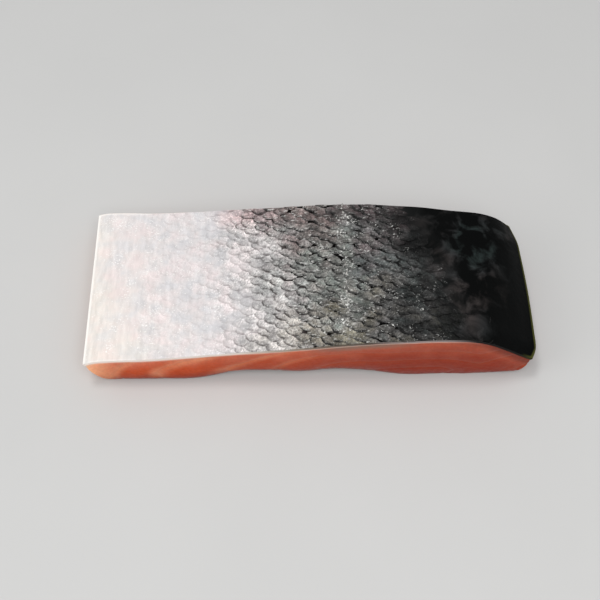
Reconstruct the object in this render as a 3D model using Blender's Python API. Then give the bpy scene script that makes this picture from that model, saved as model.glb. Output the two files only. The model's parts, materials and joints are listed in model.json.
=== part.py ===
"""Raw salmon fillet portion, lying skin side up.

Two pieces: the flesh, and the skin that covers it from the belly edge over to the back edge.
Metres. +X runs across the fish from belly to back, +Y from the tail-side cut to the head-side cut,
+Z up. The origin is at the middle of the underside.

Both pieces start as a unit block whose sides are cut into a grid. The block's own coordinates are
then read as (across, along, up), each from 0 to 1, and one function moves every corner to its place.
"""

from math import radians

import bmesh
import bpy
import numpy as np
from mathutils import Matrix, Vector, noise

# Plan
WIDTH = 0.1674                # belly edge to back edge, along the middle
LENGTH_AT_BELLY = 0.0708      # from cut to cut, along the belly edge
LENGTH_AT_BACK = 0.0610       # from cut to cut, along the back edge
HEAD_CUT_HOLLOW = 0.0004      # how far the head-side cut bows inwards over the loin
BELLY_EDGE_LEAN = 0.0010      # the belly edge stands this much further out at the head-side cut
BACK_EDGE_BOW = 0.0006        # the back edge swells this much in the middle of its length
TAIL_CORNER = (0.0022, 0.06)  # back corner at the tail-side cut: width taken off, share of the length
HEAD_CORNER = (0.0022, 0.13)  # back corner at the head-side cut

# Height of the skin's outer side: place across the fish, at the tail-side cut, at the head-side cut
SKIN_HEIGHTS = (
    (0.000, 0.0132, 0.0120),  # belly edge, rolled down a little
    (0.022, 0.0151, 0.0136),
    (0.130, 0.0159, 0.0144),
    (0.260, 0.0181, 0.0164),
    (0.380, 0.0200, 0.0192),  # end of the belly flap
    (0.480, 0.0217, 0.0215),
    (0.570, 0.0235, 0.0229),  # lateral line
    (0.670, 0.0253, 0.0246),
    (0.770, 0.0260, 0.0240),  # thickest part of the loin
    (0.850, 0.0255, 0.0221),
    (0.890, 0.0240, 0.0217),  # shoulder of the back
    (0.930, 0.0197, 0.0209),
    (0.980, 0.0137, 0.0165),
    (1.000, 0.0112, 0.0118),  # back edge
)
HEIGHT_ROUNDING = 0.018       # half-width, across the fish, over which the corners above are rounded

# Skin
SKIN_THICKNESS = 0.0010
GAP = 0.0003                  # clearance between skin and flesh
SURFACE_WAVE = 0.00025        # soft unevenness of the skin
CUT_WAVE = 0.0003             # soft unevenness of the two cuts
WAVES_PER_METRE = 45.0

# Flesh
BELLY_UNDERCUT = 0.0088       # how far the underside stays in from the belly edge
BACK_UNDERCUT = 0.0055        # the same at the back edge
BELLY_BULGE = 0.0014          # rounding of the end below the belly edge
BACK_BULGE = 0.0012           # rounding of the end below the back edge
BACK_LIFT = 0.0010            # rise of the underside at the back edge
BACK_LIFT_START = 0.90        # place across where that rise begins
ARCHES = (                    # low arches in the underside: place across, half-width, height
    (0.350, 0.155, 0.0028),   # where the belly flap meets the loin
    (0.560, 0.200, 0.0026),   # where the backbone lay
)
CUT_SLANT = 0.55              # how far the cuts lean in at the bottom, as a share of the arch height
CUT_SWELL = 0.0005            # how far the cuts swell out between skin and underside
BOTTOM_ROUNDING = 0.0009      # how far the bottom edges of the cuts are rounded in
BOTTOM_ROUNDING_TOP = 0.22    # share of the height over which they are rounded

# Grid
CUTS_ALONG = 14
CUTS_UP = 5
CUTS_ACROSS = 40
EDGE_CUTS_ACROSS = (0.008, 0.016, 0.965, 0.978, 0.992)
SHARP_ANGLE = radians(32.0)

FLESH_COLOUR = (0.58, 0.12, 0.045)
SKIN_COLOUR = (0.30, 0.30, 0.31)


def clear_scene():
    for scene_object in list(bpy.data.objects):
        bpy.data.objects.remove(scene_object, do_unlink=True)


def bump(position, centre, half_width):
    """Smooth hump of height 1 that is exactly 0 outside its half-width."""
    distance = min(abs(position - centre) / half_width, 1.0)
    return (1.0 - distance * distance) ** 2


def skin_height(across, along):
    """Height of the skin's outer side, with the corners of the profile rounded."""
    places, tail_heights, head_heights = np.array(SKIN_HEIGHTS).T
    samples = across + HEIGHT_ROUNDING * np.linspace(-1.0, 1.0, 9) * min(1.0, across / HEIGHT_ROUNDING)
    tail = np.interp(samples, places, tail_heights).mean()
    head = np.interp(samples, places, head_heights).mean()
    return tail + (head - tail) * along


def corner_loss(along):
    """Width taken off the back edge where its two corners are cut away."""
    tail_width, tail_share = TAIL_CORNER
    head_width, head_share = HEAD_CORNER
    tail = tail_width * max(0.0, 1.0 - along / tail_share)
    head = head_width * max(0.0, 1.0 - (1.0 - along) / head_share)
    return tail + head


def plan_point(across, along):
    """Place of a skin point seen from above."""
    left = -0.5 * WIDTH - BELLY_EDGE_LEAN * (along - 0.5)
    right = 0.5 * WIDTH + BACK_EDGE_BOW * bump(along, 0.5, 0.5) - corner_loss(along)
    length = LENGTH_AT_BELLY + (LENGTH_AT_BACK - LENGTH_AT_BELLY) * across
    length -= HEAD_CUT_HOLLOW * bump(across, 0.83, 0.25)
    x = left + (right - left) * across
    tail_cut = -0.5 * LENGTH_AT_BELLY + CUT_WAVE * noise.noise(Vector((x, 0.0, 0.0)) * WAVES_PER_METRE)
    return x, tail_cut + length * along


def skin_surface(across, along):
    x, y = plan_point(across, along)
    wave = SURFACE_WAVE * noise.noise(Vector((x, y, 0.0)) * WAVES_PER_METRE)
    return Vector((x, y, skin_height(across, along) + wave))


def skin_point(across, along, depth):
    """Point at a depth below the skin's outer side, measured square to it."""
    step = 0.004
    low_across, high_across = max(across - step, 0.0), min(across + step, 1.0)
    low_along, high_along = max(along - step, 0.0), min(along + step, 1.0)
    slope_across = skin_surface(high_across, along) - skin_surface(low_across, along)
    slope_along = skin_surface(across, high_along) - skin_surface(across, low_along)
    normal = slope_across.cross(slope_along).normalized()
    point = skin_surface(across, along) - normal * depth
    point.y = plan_point(across, along)[1]
    return point


def arch_height(across):
    return sum(height * bump(across, centre, half) for centre, half, height in ARCHES)


def underside_height(across):
    lift = max(0.0, across - BACK_LIFT_START) / (1.0 - BACK_LIFT_START)
    return arch_height(across) + BACK_LIFT * lift * lift


def flesh_point(across, along, up):
    """Point of the flesh block: the underside at up = 0, just below the skin at up = 1."""
    top = skin_point(across, along, SKIN_THICKNESS + GAP)
    left, _ = plan_point(0.0, along)
    right, _ = plan_point(1.0, along)
    inner_left = left + BELLY_UNDERCUT
    inner_right = right - BACK_UNDERCUT
    bottom = Vector((inner_left + (inner_right - inner_left) * across, top.y, underside_height(across)))
    point = bottom.lerp(top, up)

    side_swell = up * (1.0 - up) * 4.0
    point.x += side_swell * (BACK_BULGE * bump(across, 1.0, 0.10) - BELLY_BULGE * bump(across, 0.0, 0.12))

    slant = CUT_SLANT * arch_height(across) * (1.0 - up)
    rounding = BOTTOM_ROUNDING * max(0.0, 1.0 - up / BOTTOM_ROUNDING_TOP) ** 2
    inset = slant + rounding - CUT_SWELL * side_swell
    point.y += inset * (1.0 - 2.0 * along)
    return point


def cut_block(cuts):
    """Unit block from (0, 0, 0) to (1, 1, 1), cut by planes square to each axis."""
    mesh = bmesh.new()
    bmesh.ops.create_cube(mesh, size=1.0, matrix=Matrix.Translation((0.5, 0.5, 0.5)))
    for axis, positions in enumerate(cuts):
        for position in positions:
            plane_point = Vector((0.0, 0.0, 0.0))
            plane_point[axis] = position
            plane_normal = Vector((0.0, 0.0, 0.0))
            plane_normal[axis] = 1.0
            geometry = mesh.verts[:] + mesh.edges[:] + mesh.faces[:]
            bmesh.ops.bisect_plane(mesh, geom=geometry, plane_co=plane_point, plane_no=plane_normal)
    return mesh


def even_cuts(count):
    return [step / (count + 1) for step in range(1, count + 1)]


def cuts_across():
    middle = [cut for cut in even_cuts(CUTS_ACROSS) if 0.02 < cut < 0.96]
    return sorted(middle + list(EDGE_CUTS_ACROSS))


def shaped_block(name, cuts, shape, colour, roughness):
    """Object made of a cut block whose corners the shape function moves."""
    mesh = cut_block(cuts)
    for vertex in mesh.verts:
        vertex.co = shape(*vertex.co)
    bmesh.ops.triangulate(mesh, faces=mesh.faces[:], quad_method="BEAUTY")
    bmesh.ops.recalc_face_normals(mesh, faces=mesh.faces[:])
    data = bpy.data.meshes.new(name)
    mesh.to_mesh(data)
    mesh.free()
    data.shade_smooth()
    data.set_sharp_from_angle(angle=SHARP_ANGLE)
    data.materials.append(principled(name, colour, roughness))
    shaped = bpy.data.objects.new(name, data)
    bpy.context.scene.collection.objects.link(shaped)
    return shaped


def principled(name, colour, roughness):
    material = bpy.data.materials.new(name)
    material.use_nodes = True
    shader = material.node_tree.nodes["Principled BSDF"]
    shader.inputs["Base Color"].default_value = (*colour, 1.0)
    shader.inputs["Roughness"].default_value = roughness
    shader.inputs["Metallic"].default_value = 0.0
    return material


def centre_on_underside(pieces):
    """Move the meshes so that the middle of the whole underside is the origin."""
    corners = np.array([vertex.co for piece in pieces for vertex in piece.data.vertices])
    low, high = corners.min(axis=0), corners.max(axis=0)
    middle = 0.5 * (low + high)
    shift = Matrix.Translation((-middle[0], -middle[1], -low[2]))
    for piece in pieces:
        piece.data.transform(shift)


def build():
    clear_scene()
    flesh = shaped_block(
        "flesh",
        (cuts_across(), even_cuts(CUTS_ALONG), even_cuts(CUTS_UP)),
        flesh_point,
        FLESH_COLOUR,
        roughness=0.35,
    )
    skin = shaped_block(
        "skin",
        (cuts_across(), even_cuts(CUTS_ALONG), ()),
        lambda across, along, up: skin_point(across, along, SKIN_THICKNESS * (1.0 - up)),
        SKIN_COLOUR,
        roughness=0.30,
    )
    centre_on_underside([flesh, skin])


build()
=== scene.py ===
"""Looks of a raw salmon portion that lies skin side up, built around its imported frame."""

import json
from math import cos, exp, hypot, pi, radians, sin

import bmesh
import bpy
import numpy as np
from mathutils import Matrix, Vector, noise
from mathutils.bvhtree import BVHTree

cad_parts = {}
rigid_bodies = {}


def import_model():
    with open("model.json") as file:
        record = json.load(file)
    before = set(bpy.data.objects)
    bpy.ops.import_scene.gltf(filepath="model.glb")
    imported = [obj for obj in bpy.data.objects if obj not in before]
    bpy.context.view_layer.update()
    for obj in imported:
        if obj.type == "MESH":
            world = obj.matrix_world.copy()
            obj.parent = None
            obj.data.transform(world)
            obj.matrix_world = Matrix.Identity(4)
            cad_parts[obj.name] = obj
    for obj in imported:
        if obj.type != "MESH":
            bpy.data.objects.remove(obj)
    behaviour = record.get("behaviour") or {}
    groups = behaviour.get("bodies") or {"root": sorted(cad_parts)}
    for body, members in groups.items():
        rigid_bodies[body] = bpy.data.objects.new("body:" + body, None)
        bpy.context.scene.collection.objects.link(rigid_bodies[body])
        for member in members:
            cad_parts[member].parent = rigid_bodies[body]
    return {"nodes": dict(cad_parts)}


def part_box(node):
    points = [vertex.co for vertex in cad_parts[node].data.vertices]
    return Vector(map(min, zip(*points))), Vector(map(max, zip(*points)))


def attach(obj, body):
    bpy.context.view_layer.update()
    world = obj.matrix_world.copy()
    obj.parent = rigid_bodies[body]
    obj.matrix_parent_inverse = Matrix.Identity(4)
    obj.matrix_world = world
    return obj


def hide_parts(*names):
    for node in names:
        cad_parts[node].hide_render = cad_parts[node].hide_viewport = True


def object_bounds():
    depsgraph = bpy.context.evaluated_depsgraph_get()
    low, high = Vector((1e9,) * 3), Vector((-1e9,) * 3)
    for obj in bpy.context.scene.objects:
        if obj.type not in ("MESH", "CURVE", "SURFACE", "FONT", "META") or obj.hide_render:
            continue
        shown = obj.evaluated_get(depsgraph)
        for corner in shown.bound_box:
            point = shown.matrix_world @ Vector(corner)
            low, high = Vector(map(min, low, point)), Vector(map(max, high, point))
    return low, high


bl_info = {
    "name": "Raw Salmon Fillet",
    "version": (1, 0, 0),
    "blender": (4, 5, 0),
    "location": "3D View > Sidebar > Fillet",
    "description": "Flesh, skin and scales of a raw salmon portion, built on its packed frame",
    "category": "Add Mesh",
}

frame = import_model()
CAD_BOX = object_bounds()
LOW, HIGH = CAD_BOX
MM = 0.001
SHARP_EDGE = radians(32.0)    # above this angle an edge of the CAD solids is a real edge


def linear(hex_colour):
    """An sRGB hex colour as linear red, green, blue and an alpha of 1."""
    parts = [int(hex_colour[place:place + 2], 16) / 255.0 for place in (1, 3, 5)]
    return tuple(part / 12.92 if part <= 0.04045 else ((part + 0.055) / 1.055) ** 2.4 for part in parts) + (1.0,)


def per_mm(size):
    """The texture scale at which a pattern's features are this many millimetres apart."""
    return 1.0 / (size * MM)


def add(tree, kind, inputs=None, stops=None, **settings):
    """Add one node with its settings, its colour stops, and its inputs as values or links."""
    node = tree.nodes.new(kind)
    for name, value in settings.items():
        setattr(node, name, value)
    if stops:
        elements = node.color_ramp.elements
        elements.remove(elements[1])
        elements[0].position, elements[0].color = stops[0]
        for position, colour in stops[1:]:
            elements.new(position).color = colour
    for key, value in (inputs or {}).items():
        if isinstance(value, bpy.types.Node):
            value = value.outputs[0]
        if isinstance(value, bpy.types.NodeSocket):
            tree.links.new(value, node.inputs[key])
        else:
            node.inputs[key].default_value = value
    return node


def new_material(name):
    """An empty material, with its tree and its output node."""
    material = bpy.data.materials.new(name)
    material.use_nodes = True
    material.node_tree.nodes.clear()
    return material, material.node_tree, add(material.node_tree, "ShaderNodeOutputMaterial")


# ---------------------------------------------------------------- settings

class FleshSettings(bpy.types.PropertyGroup):
    flake_spacing: bpy.props.FloatProperty(
        name="Flake spacing", description="Distance between the fat seams along the fish",
        default=9.0 * MM, min=4.0 * MM, max=15.0 * MM, subtype="DISTANCE", unit="LENGTH")
    seam_width: bpy.props.FloatProperty(
        name="Seam width", description="Width of the groove that a fat seam leaves",
        default=0.9 * MM, min=0.2 * MM, max=3.0 * MM, subtype="DISTANCE", unit="LENGTH")
    seam_depth: bpy.props.FloatProperty(
        name="Seam depth", description="Depth of the groove that a fat seam leaves",
        default=0.16 * MM, min=0.0, max=1.0 * MM, subtype="DISTANCE", unit="LENGTH")
    loin_colour: bpy.props.FloatVectorProperty(
        name="Loin", description="Muscle of the thick back half", subtype="COLOR", size=4,
        default=linear("#8F2E12"), min=0.0, max=1.0)
    belly_colour: bpy.props.FloatVectorProperty(
        name="Belly", description="Muscle of the thin belly half", subtype="COLOR", size=4,
        default=linear("#BE4712"), min=0.0, max=1.0)
    # The pale colour also serves as painted light on the upper parts of the cut faces
    pale_lit_colour: bpy.props.FloatVectorProperty(
        name="Pale", description="Fatty muscle close below the skin", subtype="COLOR", size=4,
        default=linear("#D2785C"), min=0.0, max=1.0)
    # The deep colour also serves as painted shade on the lower parts of the cut faces
    deep_shaded_colour: bpy.props.FloatVectorProperty(
        name="Deep", description="Lean muscle close to the underside", subtype="COLOR", size=4,
        default=linear("#862206"), min=0.0, max=1.0)
    seam_colour: bpy.props.FloatVectorProperty(
        name="Fat seam", description="Pale fat between the flakes", subtype="COLOR", size=4,
        default=linear("#E09C76"), min=0.0, max=1.0)


class SkinSettings(bpy.types.PropertyGroup):
    sink: bpy.props.FloatProperty(
        name="Sink", description="How far the skin lies below the tops of its scales",
        default=0.35 * MM, min=0.0, max=1.0 * MM, subtype="DISTANCE", unit="LENGTH")
    reach: bpy.props.FloatProperty(
        name="Reach", description="How far the skin's underside comes down to meet the flesh",
        default=0.32 * MM, min=0.0, max=1.0 * MM, subtype="DISTANCE", unit="LENGTH")


class ScaleSettings(bpy.types.PropertyGroup):
    column_spacing: bpy.props.FloatProperty(
        name="Column spacing", description="Distance between columns of scales, across the fish",
        default=3.99 * MM, min=1.0 * MM, max=10.0 * MM, subtype="DISTANCE", unit="LENGTH")
    row_spacing: bpy.props.FloatProperty(
        name="Row spacing", description="Distance between scales in a column, along the fish",
        default=4.1 * MM, min=1.0 * MM, max=10.0 * MM, subtype="DISTANCE", unit="LENGTH")
    width: bpy.props.FloatProperty(
        name="Scale width", description="Width of one scale",
        default=7.4 * MM, min=1.0 * MM, max=12.0 * MM, subtype="DISTANCE", unit="LENGTH")
    length: bpy.props.FloatProperty(
        name="Scale length", description="Length of one scale, with the part its neighbour covers",
        default=6.2 * MM, min=1.0 * MM, max=12.0 * MM, subtype="DISTANCE", unit="LENGTH")
    seed: bpy.props.IntProperty(name="Seed", description="Seed of the scales' irregularity", default=7)


class LineSettings(bpy.types.PropertyGroup):
    pore_spacing: bpy.props.FloatProperty(
        name="Pore spacing", description="Distance between the pore tubes of the lateral line",
        default=4.1 * MM, min=1.0 * MM, max=10.0 * MM, subtype="DISTANCE", unit="LENGTH")
    pore_length: bpy.props.FloatProperty(
        name="Pore length", description="Length of one pore tube",
        default=2.7 * MM, min=0.5 * MM, max=6.0 * MM, subtype="DISTANCE", unit="LENGTH")
    pore_width: bpy.props.FloatProperty(
        name="Pore width", description="Width of one pore tube",
        default=0.75 * MM, min=0.2 * MM, max=2.0 * MM, subtype="DISTANCE", unit="LENGTH")
    seed: bpy.props.IntProperty(name="Seed", description="Seed of the tubes' irregularity", default=5)


class StageSettings(bpy.types.PropertyGroup):
    floor_colour: bpy.props.FloatVectorProperty(
        name="Floor", description="Pale studio floor", subtype="COLOR", size=4,
        default=linear("#BEBEBD"), min=0.0, max=1.0)
    camera_distance: bpy.props.FloatProperty(
        name="Camera distance", description="From the camera to the middle of the view",
        default=0.370, min=0.1, max=3.0, subtype="DISTANCE", unit="LENGTH")
    camera_elevation: bpy.props.FloatProperty(
        name="Camera elevation", description="Height of the camera as an angle",
        default=radians(56.0), min=0.0, max=radians(90.0), subtype="ANGLE", unit="ROTATION")


# ---------------------------------------------------------------- meshes

def merged_copy(node_name):
    """A CAD node's shape as a new bmesh, with doubled points merged and triangles joined into quads."""
    bm = bmesh.new()
    bm.from_mesh(frame["nodes"][node_name].data)
    bmesh.ops.remove_doubles(bm, verts=bm.verts, dist=1e-6)
    bmesh.ops.join_triangles(
        bm, faces=bm.faces, angle_face_threshold=radians(30.0), angle_shape_threshold=radians(40.0))
    bm.normal_update()
    return bm


def crease_edges(bm, strength):
    """Crease every real edge, so that subdivision keeps it."""
    layer = bm.edges.layers.float.get("crease_edge") or bm.edges.layers.float.new("crease_edge")
    for edge in bm.edges:
        if edge.calc_face_angle(0.0) > SHARP_EDGE:
            edge[layer] = strength


def as_object(name, bm):
    """A new object at the origin that holds this bmesh."""
    mesh = bpy.data.meshes.new(name)
    bm.to_mesh(mesh)
    bm.free()
    piece = bpy.data.objects.new(name, mesh)
    bpy.context.scene.collection.objects.link(piece)
    return piece


def bake_modifiers(piece):
    """Turn the piece's modifiers into plain mesh."""
    graph = bpy.context.evaluated_depsgraph_get()
    mesh = bpy.data.meshes.new_from_object(piece.evaluated_get(graph), depsgraph=graph)
    piece.modifiers.clear()
    old_mesh = piece.data
    piece.data = mesh
    bpy.data.meshes.remove(old_mesh)
    mesh.name = piece.name


def subdivide(piece, levels):
    modifier = piece.modifiers.new("Smooth", "SUBSURF")
    modifier.levels = levels
    modifier.render_levels = levels
    bake_modifiers(piece)


def smooth_shading(piece):
    """Shade smooth, but for the real edges."""
    piece.data.shade_smooth()
    piece.data.set_sharp_from_angle(angle=SHARP_EDGE)


def skin_lookup():
    """A search tree of the CAD skin."""
    mesh = frame["nodes"]["skin"].data
    return BVHTree.FromPolygons([v.co for v in mesh.vertices], [p.vertices for p in mesh.polygons])


# ---------------------------------------------------------------- flesh

LOIN_AXIS = Vector((35.0 * MM, 0.0, 2.0 * MM))  # the middle of the nested cones of muscle
CONE_FLATNESS = 0.30          # height of a cone over its width
CONE_STEEPNESS = 0.50         # how fast the cones run along the fish, against their width
BACK_TURN = 62.0 * MM         # where the seams turn back again, near the back edge


def flake_place(point, spacing):
    """How many flakes lie between this point and the middle one: a whole number at each fat seam."""
    across = point.x - LOIN_AXIS.x
    up = (point.z - LOIN_AXIS.z) / CONE_FLATNESS
    cone = hypot(hypot(across, up), 3.0 * MM)
    turned = max(0.0, point.x - BACK_TURN)
    wander = noise.noise(point * 38.0) * 2.6 * MM + noise.noise(point * 130.0) * 0.7 * MM
    return (point.y + CONE_STEEPNESS * (cone - 1.7 * turned) + wander) / spacing


def add_flesh_detail(piece, settings):
    """Store where each point lies among the flakes and below the skin, and cut the seams' grooves."""
    mesh = piece.data
    count = len(mesh.vertices)
    places = np.empty(count, dtype=np.float32)
    depths = np.empty(count, dtype=np.float32)
    moved = np.empty((count, 3), dtype=np.float32)
    skin = skin_lookup()
    half_width = 0.5 * settings.seam_width
    for number, vertex in enumerate(mesh.vertices):
        point = vertex.co
        place = flake_place(point, settings.flake_spacing)
        depth = skin.find_nearest(point)[3]
        to_seam = abs(place - round(place)) * settings.flake_spacing
        groove = settings.seam_depth * exp(-(to_seam / half_width) ** 2)
        pillow = 0.05 * MM * cos(2.0 * pi * place)
        grain = 0.05 * MM * noise.noise(Vector((point.x, point.y * 0.35, point.z)) * 900.0)
        inside = min(1.0, max(0.0, depth / MM - 0.4) / 0.8)
        places[number] = place
        depths[number] = depth
        moved[number] = point - vertex.normal * inside * (groove + pillow + grain + 0.05 * MM)
        moved[number][2] = max(moved[number][2], LOW.z)
    mesh.vertices.foreach_set("co", moved.ravel())
    for name, values in (("flake", places), ("depth", depths)):
        mesh.attributes.new(name, "FLOAT", "POINT").data.foreach_set("value", values)
    mesh.update()


def refine_walls(piece):
    """Split the faces of the cuts and ends once more."""
    bm = bmesh.new()
    bm.from_mesh(piece.data)
    bm.normal_update()
    walls = [f for f in bm.faces if abs(f.normal.z) < 0.6]
    edges = list({e for f in walls for e in f.edges})
    bmesh.ops.subdivide_edges(bm, edges=edges, cuts=1, use_grid_fill=True)
    bm.to_mesh(piece.data)
    bm.free()


def flesh_material(settings):
    """Raw salmon muscle, cut with a knife and still wet: soft and translucent, with a film of water.

    Water-like IOR, light scatters a few millimetres deep, red furthest, and the film gives a clear gloss.
    """
    material, tree, output = new_material("Raw salmon flesh, wet cut")
    spot = add(tree, "ShaderNodeTexCoord").outputs["Object"]
    place = add(tree, "ShaderNodeSeparateXYZ", {0: spot})
    flake = add(tree, "ShaderNodeAttribute", attribute_name="flake").outputs["Fac"]
    depth = add(tree, "ShaderNodeAttribute", attribute_name="depth").outputs["Fac"]

    # Muscle: orange in the belly, redder in the loin, paler towards the skin and at the thin belly edge, darker
    # towards the underside;
    # these gradients are partly the muscle's own colour and partly painted light and shade
    drift = add(tree, "ShaderNodeTexNoise", {"Vector": spot, "Scale": per_mm(22.0), "Detail": 2.0})
    across = add(tree, "ShaderNodeMath", {0: drift, 1: 40.0 * MM, 2: place.outputs["X"]}, operation="MULTIPLY_ADD")
    to_back = add(tree, "ShaderNodeMapRange", {"Value": across, "From Min": -30.0 * MM, "From Max": 55.0 * MM})
    muscle = add(tree, "ShaderNodeMix", {0: to_back, 6: settings.belly_colour, 7: settings.loin_colour},
                 data_type="RGBA")
    thickness = add(tree, "ShaderNodeMath", {0: place.outputs["Z"], 1: depth}, operation="ADD")
    height = add(tree, "ShaderNodeMath", {0: place.outputs["Z"], 1: thickness}, operation="DIVIDE")
    cloud = add(tree, "ShaderNodeTexNoise", {"Vector": spot, "Scale": per_mm(9.0), "Detail": 3.0})
    height = add(tree, "ShaderNodeMath", {0: cloud, 1: 0.5, 2: height}, operation="MULTIPLY_ADD")
    # Painted light: paler towards the top of the cut faces, partly fattier muscle near the skin
    paler_and_lit = add(tree, "ShaderNodeMapRange", {"Value": height, "From Min": 0.75, "From Max": 1.25,
                                             "To Min": 0.0, "To Max": 0.75}, interpolation_type="SMOOTHSTEP")
    fattier = add(tree, "ShaderNodeMapRange", {"Value": to_back, "To Min": 1.0, "To Max": 0.5})
    paler_and_lit = add(tree, "ShaderNodeMath", {0: paler_and_lit.outputs[0], 1: fattier.outputs[0]}, operation="MULTIPLY")
    muscle = add(tree, "ShaderNodeMix", {0: paler_and_lit, 6: muscle.outputs[2], 7: settings.pale_lit_colour},
                 data_type="RGBA")
    # Painted light: palest at the thin belly edge, partly thin, fatty tissue there
    pale_lit_tip = add(tree, "ShaderNodeMapRange", {"Value": place.outputs["X"], "From Min": -70.0 * MM,
                                           "From Max": -84.0 * MM, "To Min": 0.0, "To Max": 1.0})
    muscle = add(tree, "ShaderNodeMix", {0: pale_lit_tip.outputs[0], 6: muscle.outputs[2], 7: linear("#FFBC90")},
                 data_type="RGBA")
    # Painted shade: darker and redder towards the underside, partly lean muscle there
    deeper_and_shaded = add(tree, "ShaderNodeMapRange", {"Value": height, "From Min": 0.80, "From Max": 0.25,
                                              "To Min": 0.0, "To Max": 0.9}, interpolation_type="SMOOTHSTEP")
    thin = add(tree, "ShaderNodeMath", {0: 1.0, 1: pale_lit_tip.outputs[0]}, operation="SUBTRACT")
    deeper_and_shaded = add(tree, "ShaderNodeMath", {0: deeper_and_shaded.outputs[0], 1: thin}, operation="MULTIPLY")
    muscle = add(tree, "ShaderNodeMix", {0: deeper_and_shaded, 6: muscle.outputs[2], 7: settings.deep_shaded_colour},
                 data_type="RGBA")

    # Fat seams, soft at their edges, where the flake number is whole; faint in the loin
    nearest = add(tree, "ShaderNodeMath", {0: flake}, operation="ROUND")
    to_seam = add(tree, "ShaderNodeMath", {0: flake, 1: nearest}, operation="SUBTRACT")
    to_seam = add(tree, "ShaderNodeMath", {0: to_seam}, operation="ABSOLUTE")
    seam = add(tree, "ShaderNodeMapRange", {"Value": to_seam, "From Min": 0.0, "From Max": 0.32,
                                            "To Min": 1.0, "To Max": 0.0}, interpolation_type="SMOOTHERSTEP")
    patches = add(tree, "ShaderNodeTexNoise", {"Vector": spot, "Scale": per_mm(14.0), "Detail": 3.0})
    strength = add(tree, "ShaderNodeMapRange", {"Value": patches, "From Min": 0.35, "From Max": 0.65,
                                                "To Min": 0.25, "To Max": 0.7})
    loin = add(tree, "ShaderNodeMapRange", {"Value": across, "From Min": -15.0 * MM, "From Max": 25.0 * MM,
                                            "To Min": 1.0, "To Max": 0.08})
    strength = add(tree, "ShaderNodeMath", {0: strength.outputs[0], 1: loin.outputs[0]}, operation="MULTIPLY")
    seam = add(tree, "ShaderNodeMath", {0: seam.outputs[0], 1: strength}, operation="MULTIPLY")
    clear = add(tree, "ShaderNodeMapRange", {"Value": deeper_and_shaded, "To Min": 1.0, "To Max": 0.0})
    seam = add(tree, "ShaderNodeMath", {0: seam, 1: clear.outputs[0]}, operation="MULTIPLY")
    with_seams = add(tree, "ShaderNodeMix", {0: seam, 6: muscle.outputs[2], 7: settings.seam_colour},
                     data_type="RGBA")

    # Fibre streaks
    stretched = add(tree, "ShaderNodeMapping", {"Vector": spot, "Scale": (1.0, 0.3, 1.0)})
    fibres = add(tree, "ShaderNodeTexNoise", {"Vector": stretched, "Scale": per_mm(1.1), "Detail": 4.0,
                                              "Roughness": 0.6})
    tone = add(tree, "ShaderNodeMapRange", {"Value": fibres, "From Min": 0.3, "From Max": 0.7,
                                            "To Min": 0.90, "To Max": 1.08})
    toned = add(tree, "ShaderNodeMix", {0: 1.0, 6: with_seams.outputs[2], 7: tone.outputs[0]},
                data_type="RGBA", blend_type="MULTIPLY")

    # Dark muscle under the lateral line, and the thin line of fat under the skin
    under_skin = add(tree, "ShaderNodeMapRange", {"Value": depth, "From Min": 1.2 * MM, "From Max": 4.5 * MM,
                                                  "To Min": 1.0, "To Max": 0.0}, interpolation_type="SMOOTHSTEP")
    near_line = add(tree, "ShaderNodeMath", {0: place.outputs["X"], 1: 18.0 * MM}, operation="SUBTRACT")
    near_line = add(tree, "ShaderNodeMath", {0: near_line}, operation="ABSOLUTE")
    near_line = add(tree, "ShaderNodeMapRange", {"Value": near_line, "From Min": 6.0 * MM, "From Max": 24.0 * MM,
                                                 "To Min": 0.95, "To Max": 0.0}, interpolation_type="SMOOTHSTEP")
    dark = add(tree, "ShaderNodeMath", {0: under_skin.outputs[0], 1: near_line.outputs[0]}, operation="MULTIPLY")
    with_dark = add(tree, "ShaderNodeMix", {0: dark, 6: toned.outputs[2], 7: linear("#866A5C")}, data_type="RGBA")
    fat = add(tree, "ShaderNodeMapRange", {"Value": depth, "From Min": 0.25 * MM, "From Max": 1.3 * MM,
                                           "To Min": 0.85, "To Max": 0.0}, interpolation_type="SMOOTHSTEP")
    lean = add(tree, "ShaderNodeMapRange", {"Value": place.outputs["X"], "From Min": 48.0 * MM,
                                            "From Max": 62.0 * MM, "To Min": 1.0, "To Max": 0.0})
    fat = add(tree, "ShaderNodeMath", {0: fat.outputs[0], 1: lean.outputs[0]}, operation="MULTIPLY")
    # Painted shade: the flesh right under the black skin darkens towards the back end
    dusky_shade = add(tree, "ShaderNodeMapRange", {"Value": place.outputs["X"], "From Min": 50.0 * MM,
                                             "From Max": 68.0 * MM, "To Min": 0.0, "To Max": 0.7})
    dusky_shade = add(tree, "ShaderNodeMath", {0: dusky_shade.outputs[0], 1: under_skin.outputs[0]}, operation="MULTIPLY")
    with_dark = add(tree, "ShaderNodeMix", {0: dusky_shade, 6: with_dark.outputs[2], 7: linear("#5A1C12")},
                    data_type="RGBA")
    colour = add(tree, "ShaderNodeMix", {0: fat, 6: with_dark.outputs[2], 7: linear("#E8C2B4")},
                 data_type="RGBA")

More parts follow.
